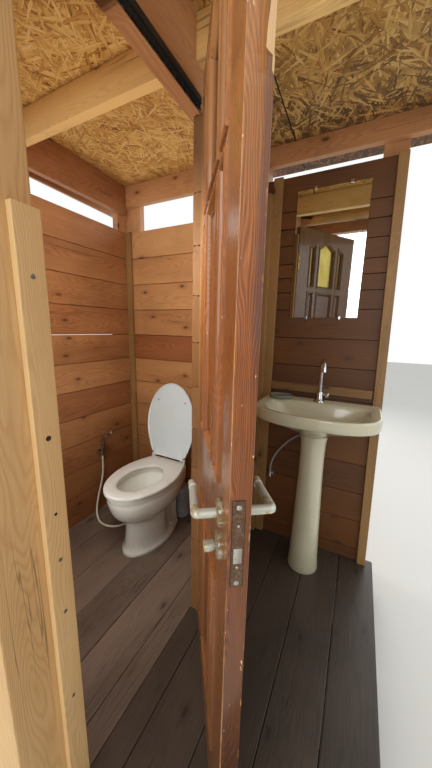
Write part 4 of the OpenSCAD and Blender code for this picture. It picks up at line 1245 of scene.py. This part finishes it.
def lock_plate():
    low, high = PLATE_LOW, PLATE_HIGH
    # the gap round the face plate, a dark rim of painted shade
    put("lock_plate_recess", loft([plate_ring(y, 0.0124, low - 0.0014, high + 0.0014)
                                   for y in (0.0002, -0.0003)]), "hole_shade", DOOR_POSE, body=DOOR)
    put("lock_face_plate", loft([plate_ring(y, 0.0109 - less, low + less, high - less) for y, less
                                 in ((0.0002, 0.0), (-0.0014, 0.0), (-0.0019, 0.0004))]),
        "rusty", DOOR_POSE, body=DOOR, nodes=("lock_plate",), slot="lock_steel")
    pale = Pile(block((PLATE_X - 0.0078, -LOCK_EDGE - 0.0032, high - 0.122),
                      (PLATE_X + 0.0078, -LOCK_EDGE - 0.0010, high - 0.091), 0.0010))
    for z, r in ((high - 0.0125, 4.8), (low + 0.0085, 4.8), (high - 0.048, 2.4),
                 (high - 0.131, 2.4)):
        pale.add(screw((PLATE_X, -LOCK_EDGE - 0.0019, z), (0, -1, 0), r))
    pale.put("lock_bolt_end", "bolt", body=DOOR, matrix=DOOR_POSE)


def door_hinges():
    """Lift-off hinges in brass, with their leaves screwed to the jamb and to the leaf's edge."""
    pins, leaves = Pile(), Pile()
    lower = ((4.5, -60), (5.6, -59.2), (6, -57), (6, -9), (5.4, -8.4), (5.4, -7), (6, -6.4),
             (6, 0))
    upper = ((3.3, 0), (6, 0), (6, 6.4), (5.4, 7), (5.4, 8.4), (6, 9), (6, 56.5), (5.2, 59.2),
             (3.3, 60))
    for z in (1.910, 0.386):
        centre = Vector((HINGE.x, HINGE.y, z))
        pins.add(lathe(centre, lower, n=28))
        pins.add(lathe(centre, ((3, -1), (3, 52), (2.2, 54)), n=20))
        pins.add(block((HINGE.x - 0.042, HINGE.y + 0.0015, z - 0.060),
                       (HINGE.x - 0.002, HINGE.y + 0.003, z), 0.0006))
        turned = Vector((0, 0, z + 0.0005))
        for made in (ring_round(turned, upper),
                     lathe(turned, ((3.4, 57), (3.4, 60.4), (2, 60.6)), n=20),
                     block((-0.042, -0.003, z + 0.0005), (-0.002, -0.0015, z + 0.0605), 0.0006)):
            leaves.add(made, DOOR_POSE)
        for up, x in ((0.012, -0.030), (0.030, -0.018), (0.048, -0.030)):
            pins.add(screw((HINGE.x + x, HINGE.y + 0.0015, z - up), (0, -1, 0), 3.5))
            leaves.add(screw((x, -0.0015, z + up), (0, 1, 0), 3.5), DOOR_POSE)
    pins.put("hinge_lower_halves", "brass", nodes=("hinge_pins",), slot="brass")
    leaves.put("hinge_upper_halves", "brass", body=DOOR, nodes=("hinge_leaves",), slot="brass")


door_leaf()
door_fields()
dress("door_glass", "amber")
roses()
levers()
thumb_turn()
lock_plate()
door_hinges()

# Toilet

EGG_BACK, EGG_CORNER = 0.37, 0.030
PAN_RIM_Z = SEAT_Z - 0.020
BOLT_Y = LID_Y - 0.105


def egg(width, length, back, z):
    """A closed outline, wide in the middle and narrower at its straight back."""
    start, corner, widest = EGG_BACK * width, EGG_CORNER, 0.45 * length
    side = [((start - corner) * k / 3, 0.0) for k in range(3)]
    for k in range(6):
        a = math.radians(15 * k)
        side.append((start - corner + corner * math.sin(a), corner * (1 - math.cos(a))))
    for k in range(14):
        side.append((start + (0.5 - EGG_BACK) * width * math.sin(math.pi / 2 * k / 14),
                     corner + (widest - corner) * k / 14))
    for k in range(17):
        a = math.pi / 2 * k / 16
        side.append((0.5 * width * math.cos(a), widest + (length - widest) * math.sin(a)))
    ring = side + [(-x, d) for x, d in reversed(side[1:-1])]
    return [Vector((PAN_X + x, back - d, z)) for x, d in ring]


def oval_like(ring, width, length, centre_y, z):
    """An ellipse whose points look the same way from its centre as those of a ring."""
    turns = [math.atan2((p.y - centre_y) / length, (p.x - PAN_X) / width) for p in ring]
    return [Vector((PAN_X + width / 2 * math.cos(a), centre_y + length / 2 * math.sin(a), z))
            for a in turns]


def pan():
    foot = LID_Y - 0.004
    rings = []
    for up, width, length, back in mm(
            (0, 244, 396, 0), (8, 245, 397, 0), (16, 243, 395, 0), (22, 235, 389, 0),
            (28, 227, 384, 0), (48, 219, 378, 0), (75, 215, 375, 0), (105, 211, 371, 0),
            (135, 209, 369, 0), (165, 209, 369, 0), (190, 210, 370, 0), (207, 213, 373, 1),
            (212.5, 221, 380, 2), (218, 238, 396, 4), (227, 264, 417, 8), (241, 292, 438, 12),
            (259, 316, 457, 17), (281, 335, 474, 22), (306, 347, 488, 27), (334, 354, 499, 31),
            (360, 357, 505, 33), (364.5, 354.5, 502.5, 32), (369, 358, 507, 34),
            (388, 358, 508, 34), (396, 356, 506, 33), (400, 349, 499, 31)):
        ring = egg(width, length, foot + back, FLOOR + up)
        for p in ring:
            # the hollow in each side, over the bolt
            if abs(p.x - PAN_X) > 0.05:
                along, high = (p.y - BOLT_Y) / 0.062, (p.z - FLOOR - 0.125) / 0.088
                p.x -= math.copysign(0.018 * math.exp(-along ** 4 - high ** 4), p.x - PAN_X)
        rings.append(ring)
    rim, centre = rings[-1], LID_Y - 0.255
    for down, width, length, shift in mm(
            (0, 272, 366, 0), (2, 256, 352, 0), (10, 248, 344, 0), (30, 244, 340, 0),
            (36, 252, 346, 0), (46, 250, 343, 0), (70, 226, 318, 2), (100, 190, 272, 6),
            (130, 146, 212, 12), (158, 104, 150, 18), (185, 76, 96, 22), (205, 60, 66, 22)):
        rings.append(oval_like(rim, width, length, centre + shift, PAN_RIM_Z - down))
    put("pan", loft(rings), "pan", nodes=("toilet_pan",), slot="pan_ceramic", smooth=50)
    surface = oval_like(rim, 0.118, 0.170, centre + 0.016, PAN_RIM_Z - 0.150)
    below = [p + Vector((0, 0, -0.004)) for p in surface]
    put("pan_water", loft([below, surface]), "water")
    caps = [lathe((PAN_X + side * 0.0865, BOLT_Y, FLOOR + 0.046),
                  ((10.5, 0), (10.5, 7), (9, 11), (5, 13.5), (0.6, 14)), (side, 0, 0.25))
            for side in (-1, 1)]
    Pile(*caps).put("pan_bolt_caps", "seat", smooth=60)


def seat():
    outer, centre = LID_Y + 0.010, LID_Y - 0.259
    rings = [egg(w, l, outer - less, z) for w, l, less, z in mm(
        (366, 496, 2, 530.2), (370, 500, 0, 533), (370, 500, 0, 540),
        (368.5, 498.5, 0.8, 545.5), (363, 493, 4, 548.8), (352, 482, 10, 550))]
    rim = rings[-1]
    rings += [oval_like(rim, w, l, centre, z) for w, l, z in mm(
        (236, 332, 549.6), (225, 321, 547.6), (217, 313, 544), (214, 310, 540),
        (214, 310, 534), (218, 314, 530.2))]
    pile = Pile(hoop(rings))
    for side in (-1, 1):
        # an ear and its pin
        x = PAN_X + side * 0.123
        pile.add(block((x - 0.006, LID_Y - 0.008, SEAT_Z - 0.001),
                       (x + 0.006, LID_Y + 0.008, SEAT_Z + 0.021), 0.003, 3))
        pile.add(lathe((PAN_X + side * 0.100, LID_Y, LID_AXIS_Z), ((3.6, 0), (4, 1), (4, 18)),
                       (side, 0, 0), 16))
    pile.put("seat_ring", "seat", nodes=("toilet_seat",), slot="seat_plastic", smooth=50)


def lid():
    """The lid in its closed place, turned up to where it stands open."""
    rings = []
    for w, l, d, z in mm((250, 370, 58, 8), (330, 452, 18, 7.6), (352, 474, 7, 6.2),
                         (362, 484, 2, 3.4), (366, 488, 0, -0.5), (366, 488, 0, -5),
                         (362, 484, 2, -7.8), (356, 478, 5, -8), (348, 470, 9, -6.2),
                         (344, 466, 11, -3.6), (250, 370, 58, -3.4)):
        ring = egg(w, l, -d, z)
        for p in ring:
            p.x -= PAN_X
            # room for the ears beside the back
            if p.y > -0.021:
                p.x = max(-0.1150, min(0.1150, p.x))
        rings.append(ring)
    turned = (Matrix.Translation((PAN_X, LID_Y, LID_AXIS_Z))
              @ Matrix.Rotation(-LID_OPEN, 4, "X"))
    barrels = [ring_round(Vector((side * 0.0965, 0, 0)), (
        (4.2, 0), (8.5, 0), (9, 0.8), (9, 18), (8.5, 18.8), (4.2, 18.8)), (side, 0, 0), 24)
        for side in (-1, 1)]
    Pile(loft(rings), *barrels).put("lid_plate", "lid", body=LID, nodes=("toilet_lid",),
                                    slot="lid_plastic", matrix=turned, smooth=50)
    bumpers = [lathe((side * 0.104, -0.372, -0.0030), ((5.6, 0), (5.6, 3), (4.5, 4.6), (0.6, 5)),
                     (0, 0, -1), 20) for side in (-1, 1)]
    Pile(*bumpers).put("lid_bumpers", "pipe", body=LID, matrix=turned)


def corrugated():
    """The waste pipe, with rounded ribs."""
    count, long = 12, 215
    ribs = [(r, (i + share) * long / count) for i in range(count) for share, r in (
        (0.10, 45.2), (0.22, 48.5), (0.36, 49.8), (0.50, 50), (0.64, 49.8), (0.78, 48.5),
        (0.90, 45.2))]
    put("waste_ribs", lathe((PAN_X + 0.062, LID_Y + 0.066, FLOOR),
                            [(44, 0)] + ribs + [(44, long)], n=40),
        "pipe", nodes=("waste_hose",), slot="waste_plastic", smooth=60)


def hand_sprayer():
    """A chromed handle that leans into the room, its head turned away from the wall."""
    foot = sprayer_line[0]
    up, way = (Vector((math.sin(math.radians(a)), 0, math.cos(math.radians(a))))
               for a in (9, 52))
    start = foot + Vector((0, 0, 0.012))
    elbow = start + up * 0.116
    path = [start + up * d for d in (0, 0.004, 0.030, 0.062, 0.092)]
    path += [elbow - up * 0.010, elbow + (up + way) * 0.002]
    path += [elbow + way * d for d in (0.012, 0.030, 0.052, 0.070, 0.072, 0.090, 0.0935)]
    radii = [0.0074, 0.0096, 0.0098, 0.0108, 0.0116, 0.0122, 0.0124, 0.0120, 0.0106, 0.0102,
             0.0112, 0.0130, 0.0134, 0.0122]
    # the trigger, on the side of the wall
    trigger = [elbow + Vector((-0.004, 0, 0.006)), elbow + Vector((-0.018, 0, 0.001))]
    trigger += [elbow - up * down + Vector((x, 0, 0)) for down, x in (
        (0.030, -0.0200), (0.062, -0.0165), (0.072, -0.0185))]
    Pile(lathe(foot, ((7.2, 0), (8.8, 1), (8.8, 10), (7, 12.5)), n=8),
         sweep(smooth_path(path, 3), between(radii, 3), 28),
         sweep(smooth_path(trigger, 5), 0.0030, 12),
         lathe(elbow + way * 0.0930, ((10, 0), (10, 1.6), (0.6, 2)), way, 28),
         ).put("sprayer_body", "chrome", nodes=("sprayer",), slot="chrome")

    centre = Vector((LEFT_IN, foot.y, foot.z + 0.020))
    Pile(lathe(centre, ((17, 0), (17, 3.5), (15.5, 5.6), (0.6, 6)), (1, 0, 0), 32),
         block(centre + Vector((0.005, -0.006, -0.006)),
               centre + Vector((0.0250, 0.006, 0.006)), 0.0015),
         ring_round(foot + Vector((0, 0, 0.009)), (
             (9, 0), (11.8, 0), (12.4, 2), (12.4, 20), (11.8, 22), (9, 22))),
         ).put("sprayer_cradle", "chrome", nodes=("sprayer_holder",), slot="chrome")


def toilet_valve():
    """A chromed valve: a stub from the wall with its flange, the hose nut and the knob."""
    end = sprayer_line[-1]
    wall = 1000 * (BACK_IN - end.y)
    Pile(lathe(end, ((7, -1), (8.6, 0), (8.6, 10), (7.2, 12), (7.2, wall - 6), (9, wall - 5),
                     (22.5, wall - 3), (23.8, wall - 0.6)), (0, 1, 0), 28),
         lathe(end + Vector((0, 0.012, 0)), ((6, 0), (6, 20), (6.8, 21), (7, 32), (6, 33.8)),
               n=8),
         ).put("toilet_valve", "chrome", nodes=("water_valve",), slot="chrome")


pan()
seat()
lid()
corrugated()
hand_sprayer()
toilet_valve()

# Washbasin


def dee(half, back, side, front, z, corner):
    """A closed outline with a straight back, straight sides and a full round front."""
    right = [((half - corner) * k / 4, back) for k in range(4)]
    for k in range(6):
        a = math.radians(18 * k)
        right.append((half - corner + corner * math.sin(a), back - corner * (1 - math.cos(a))))
    for k in (1, 2, 3):
        right.append((half, back - corner + (side - back + corner) * k / 4))
    for k in range(15):
        a = math.pi / 2 * k / 14
        right.append((half * squarish(math.cos(a), 0.8),
                      side + (front - side) * squarish(math.sin(a), 0.8)))
    ring = right + [(-x, y) for x, y in reversed(right[1:-1])]
    return [Vector((BASIN_X + x, BASIN_BACK + y, RIM_Z + z)) for x, y in ring]


def basin():
    rings = [dee(*row) for row in mm(
        (55, -85, -140, -195, -150, 50), (70, -70, -140, -210, -147, 60),
        (76, -64, -142, -216, -138, 60), (98, -50, -150, -240, -122, 60),
        (145, -28, -165, -282, -101, 50), (205, -10, -182, -330, -80, 40),
        (250, -3, -195, -358, -65, 30), (270, -1, -199, -372, -57.5, 20),
        (279, 0, -200, -380, -53.5, 16), (281.8, 0, -200, -382.8, -49, 14),
        (282.8, 0, -200, -383.8, -30, 14), (283, 0, -200, -384, -7, 14),
        (281.5, 0, -200, -382.5, -2.5, 14), (278, -2, -200, -379, -0.3, 14),
        (274, -6, -200, -375, 0, 14), (264, -12, -199, -366, -2.2, 20),
        (242, -76, -196, -356, -2.8, 40), (234, -83, -194, -350, -6, 48),
        (227, -88, -192, -344, -14, 52), (218, -93, -192, -338, -30, 56),
        (202, -101, -192, -328, -55, 60), (174, -115, -193, -310, -80, 60),
        (125, -140, -195, -280, -100, 50), (65, -168, -197, -240, -112, 28),
        (26, -186, -201, -218, -117, 12))]
    nut = lathe((tap_line[0].x, tap_line[0].y, RIM_Z - 0.140),
                ((9.5, 0), (11, 2), (11, 24), (8.5, 26), (8.5, 40)), n=6)
    Pile(loft(rings), nut).put("basin", "basin", nodes=("washbasin",), slot="basin_ceramic",
                               smooth=50)
    drain = Vector((BASIN_X, BASIN_BACK - 0.202, RIM_Z - 0.1168))
    put("basin_drain", ring_round(drain, ((13, -1), (21.5, -1), (21.5, 0.8), (19.5, 1.8),
                                          (15, 1.4), (13, -0.4)), n=32), "chrome")
    # the drain's hole, a dark disc of painted shade
    put("drain_hole", lathe(drain, ((12.8, -1), (12.8, 0.2))), "hole_shade")


def column():
    h = 1000 * (RIM_Z - 0.150 - FLOOR)
    profile = ((79, 0), (80, 4), (80, 13), (78.5, 30), (76.2, 60), (74, 90), (71.8, 150),
               (69.5, 220), (67.5, 290), (66, h * 0.45), (64, h * 0.55), (61.8, h * 0.65),
               (60.2, h * 0.74), (60, h * 0.83), (60.3, h - 80), (61.5, h - 50), (64, h - 24),
               (68, h))
    put("basin_column", lathe((BASIN_X, PEDESTAL_Y, FLOOR), profile, n=64), "basin",
        nodes=("pedestal",), slot="basin_ceramic", smooth=60)


def tap():
    foot = Vector((BASIN_X, TAP_Y, RIM_Z))
    # the spout is swivelled a little to the right
    swivel, bend = math.radians(12), 0.046
    ahead = Vector((math.sin(swivel), -math.cos(swivel), 0))
    neck = [foot + Vector((0, 0, up)) for up in (0.058, 0.110, 0.150)]
    for k in range(13):
        a = math.pi * k / 12
        neck.append(foot + ahead * (bend - bend * math.cos(a))
                    + Vector((0, 0, 0.172 + bend * math.sin(a))))
    side = foot + Vector((0, 0, 0.038))
    knob = []
    for out, r in mm((27, 10), (29, 13.8), (34, 15.2), (40, 15), (44, 12.8), (46, 8)):
        ring = []
        for k in range(40):
            a = 2 * math.pi * k / 40
            grip = r * (1 - 0.10 * (0.5 + 0.5 * math.cos(5 * a)))
            ring.append(side + Vector((out, grip * math.cos(a), grip * math.sin(a))))
        knob.append(ring)
    Pile(lathe(foot, ((26, -1), (26, 3), (24.5, 5.5), (18, 10), (16.5, 14), (16, 48), (14.8, 52),
                      (11, 54), (11, 61), (9.5, 63)), n=36),
         sweep(smooth_path(neck, 3), 0.0090, 24),
         lathe(foot + ahead * 2 * bend + Vector((0, 0, 0.166)),
               ((7.5, 0), (10, 0.8), (10, 12.5), (9.1, 14))),
         lathe(side, ((7, 10), (7, 23), (9.5, 25), (9.5, 28), (7.5, 30)), (1, 0, 0)),
         loft(knob)).put("tap", "chrome", nodes=("basin_tap",), slot="chrome")


def dish():
    """The soap dish, an oval on the rim's left corner."""
    turn = (Matrix.Translation((BASIN_X - 0.283 + 0.088, BACK_IN - 0.078, RIM_Z))
            @ Matrix.Rotation(math.radians(8), 4, "Z"))
    points, faces = lathe((0, 0, 0), ((38, -0.2), (44, 1), (47.2, 6), (48, 15), (47.4, 16),
                                      (45.2, 15), (42.5, 7), (39, 5), (0.1, 4.6)), n=56)
    put("dish", ([Vector((p.x * 130 / 96, p.y, p.z)) for p in points], faces), "smoky", turn,
        nodes=("soap_dish",), slot="dish_glass", smooth=50)


def glass_on_wall():
    """The mirror's pane in its four clips."""
    low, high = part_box("mirror")
    put("mirror_pane", block(low, high, 0.0012, 1), "mirror", nodes=("mirror",),
        slot="mirror_glass", smooth=20)
    clips = Pile()
    for x in (low.x + 0.085, high.x - 0.085):
        # the lip in front of the pane and the foot behind it
        for z, lip_low, lip_high, foot_low, foot_high in (
                (low.z, -0.010, 0.007, -0.0100, -0.0004), (high.z, -0.007, 0.010, 0.0004, 0.0100)):
            clips.add(block((x - 0.008, low.y - 0.0022, z + lip_low),
                            (x + 0.008, low.y - 0.0004, z + lip_high), 0.0006))
            clips.add(block((x - 0.008, low.y - 0.0004, z + foot_low),
                            (x + 0.008, BACK_IN, z + foot_high), 0.0005))
    clips.put("mirror_clips", "chrome")


def stop_valve():
    """The valve under the washbasin, with the hose nut over it."""
    end = tap_line[-1]
    wall = 1000 * (BACK_IN - end.y)
    Pile(lathe(end + Vector((0, 0, -0.030)), ((7, 0), (8, 1), (8, 22), (7.2, 24), (7.2, 30))),
         lathe(end + Vector((0, 0, -0.020)), ((7, 0), (7, wall - 5), (15, wall - 3),
                                              (15.5, wall - 0.4)), (0, 1, 0)),
         ).put("basin_stop_valve", "chrome", nodes=("basin_valve",), slot="chrome")


basin()
column()
tap()
dish()
glass_on_wall()
stop_valve()

# Room and light

GROUND_SIZE = 30.0
WHITE, PALE_BLUE, WARM_WHITE = (0.97, 0.98, 0.97), (0.93, 0.98, 1.0), (1.0, 1.0, 0.98)


def ground():
    """A pale floor that shows white to the camera and to mirrors, but keeps the shadow."""
    half = GROUND_SIZE / 2
    corners = [(-half, -half, 0), (half, -half, 0), (half, half, 0), (-half, half, 0)]
    obj = linked("ground", new_mesh("ground", corners, [(0, 1, 2, 3)]))
    s = Shader("ground_pale", 0.9)
    cloud = s.noise(s.place(), 0.8)
    obj.data.materials.append(s.paint(s.mix(cloud, rgb("e2e0dc"), rgb("dad8d3"))))


def sky():
    """Even soft light. Camera, mirror and glass see a white sky."""
    world = bpy.data.worlds.new("studio")
    bpy.context.scene.world = world
    world.use_nodes = True
    tree = world.node_tree
    tree.nodes.clear()
    path, soft, white, mix, out = (tree.nodes.new("ShaderNode" + kind) for kind in (
        "LightPath", "Background", "Background", "MixShader", "OutputWorld"))
    for node, colour, strength in ((soft, (0.97, 0.99, 1.0, 1), 0.75), (white, (1, 1, 1, 1), 1.0)):
        node.inputs[0].default_value = colour
        node.inputs[1].default_value = strength
    seen = path.outputs["Is Camera Ray"]
    for name in ("Is Glossy Ray", "Is Transmission Ray"):
        both = tree.nodes.new("ShaderNodeMath")
        both.operation = "MAXIMUM"
        tree.links.new(seen, both.inputs[0])
        tree.links.new(path.outputs[name], both.inputs[1])
        seen = both.outputs[0]
    for i, output in enumerate((seen, soft.outputs[0], white.outputs[0])):
        tree.links.new(output, mix.inputs[i])
    tree.links.new(mix.outputs[0], out.inputs[0])


def shine(data, place, target, power, colour, glossy):
    data.energy = power
    data.color = colour
    obj = linked(data.name, data)
    way = Vector(target) - Vector(place)
    obj.matrix_world = (Matrix.Translation(place)
                        @ way.to_track_quat("-Z", "Y").to_matrix().to_4x4())
    obj.visible_camera = obj.visible_transmission = False
    obj.visible_glossy = glossy


def lamp(name, place, target, size, power, colour=WHITE, glossy=True):
    data = bpy.data.lights.new(name, "AREA")
    data.shape = "RECTANGLE"
    data.size, data.size_y = size
    shine(data, place, target, power, colour, glossy)


def upward(name, place, target, cone, power):
    """A wide soft spot for the light that a bright floor throws up to the ceiling."""
    data = bpy.data.lights.new(name, "SPOT")
    data.spot_size = math.radians(cone)
    data.spot_blend = 1.0
    data.shadow_soft_size = 0.25
    shine(data, place, target, power, WARM_WHITE, False)


ground()
sky()
lamp("front_soft", (0.4, -3.6, 2.3), (0.2, 0.3, 1.0), (3.0, 2.2), 75)
lamp("right_soft", (3.4, 0.2, 2.2), (0.5, 0.2, 1.0), (2.4, 2.2), 18)
lamp("left_soft", (-3.6, 1.2, 3.0), (-0.5, 0.3, 1.0), (2.4, 2.2), 55)
lamp("back_soft", (0.3, 3.8, 3.0), (0, 0.4, 1.0), (2.4, 2.2), 50)
lamp("cubicle_fill", (-0.1, -0.40, 1.75), (-0.35, 0.4, 0.8), (0.4, 0.3), 8.5, PALE_BLUE, False)
lamp("pan_fill", (-0.25, -0.44, 0.80), (-0.31, 0.20, 0.30), (0.4, 0.3), 2.1, PALE_BLUE, False)
upward("ceiling_bounce", (-0.30, 0.0, 0.75), (-0.30, 0.0, 2.3), 80, 36)
upward("porch_bounce", (0.72, -0.40, 0.60), (0.60, 0.15, 2.3), 70, 26)
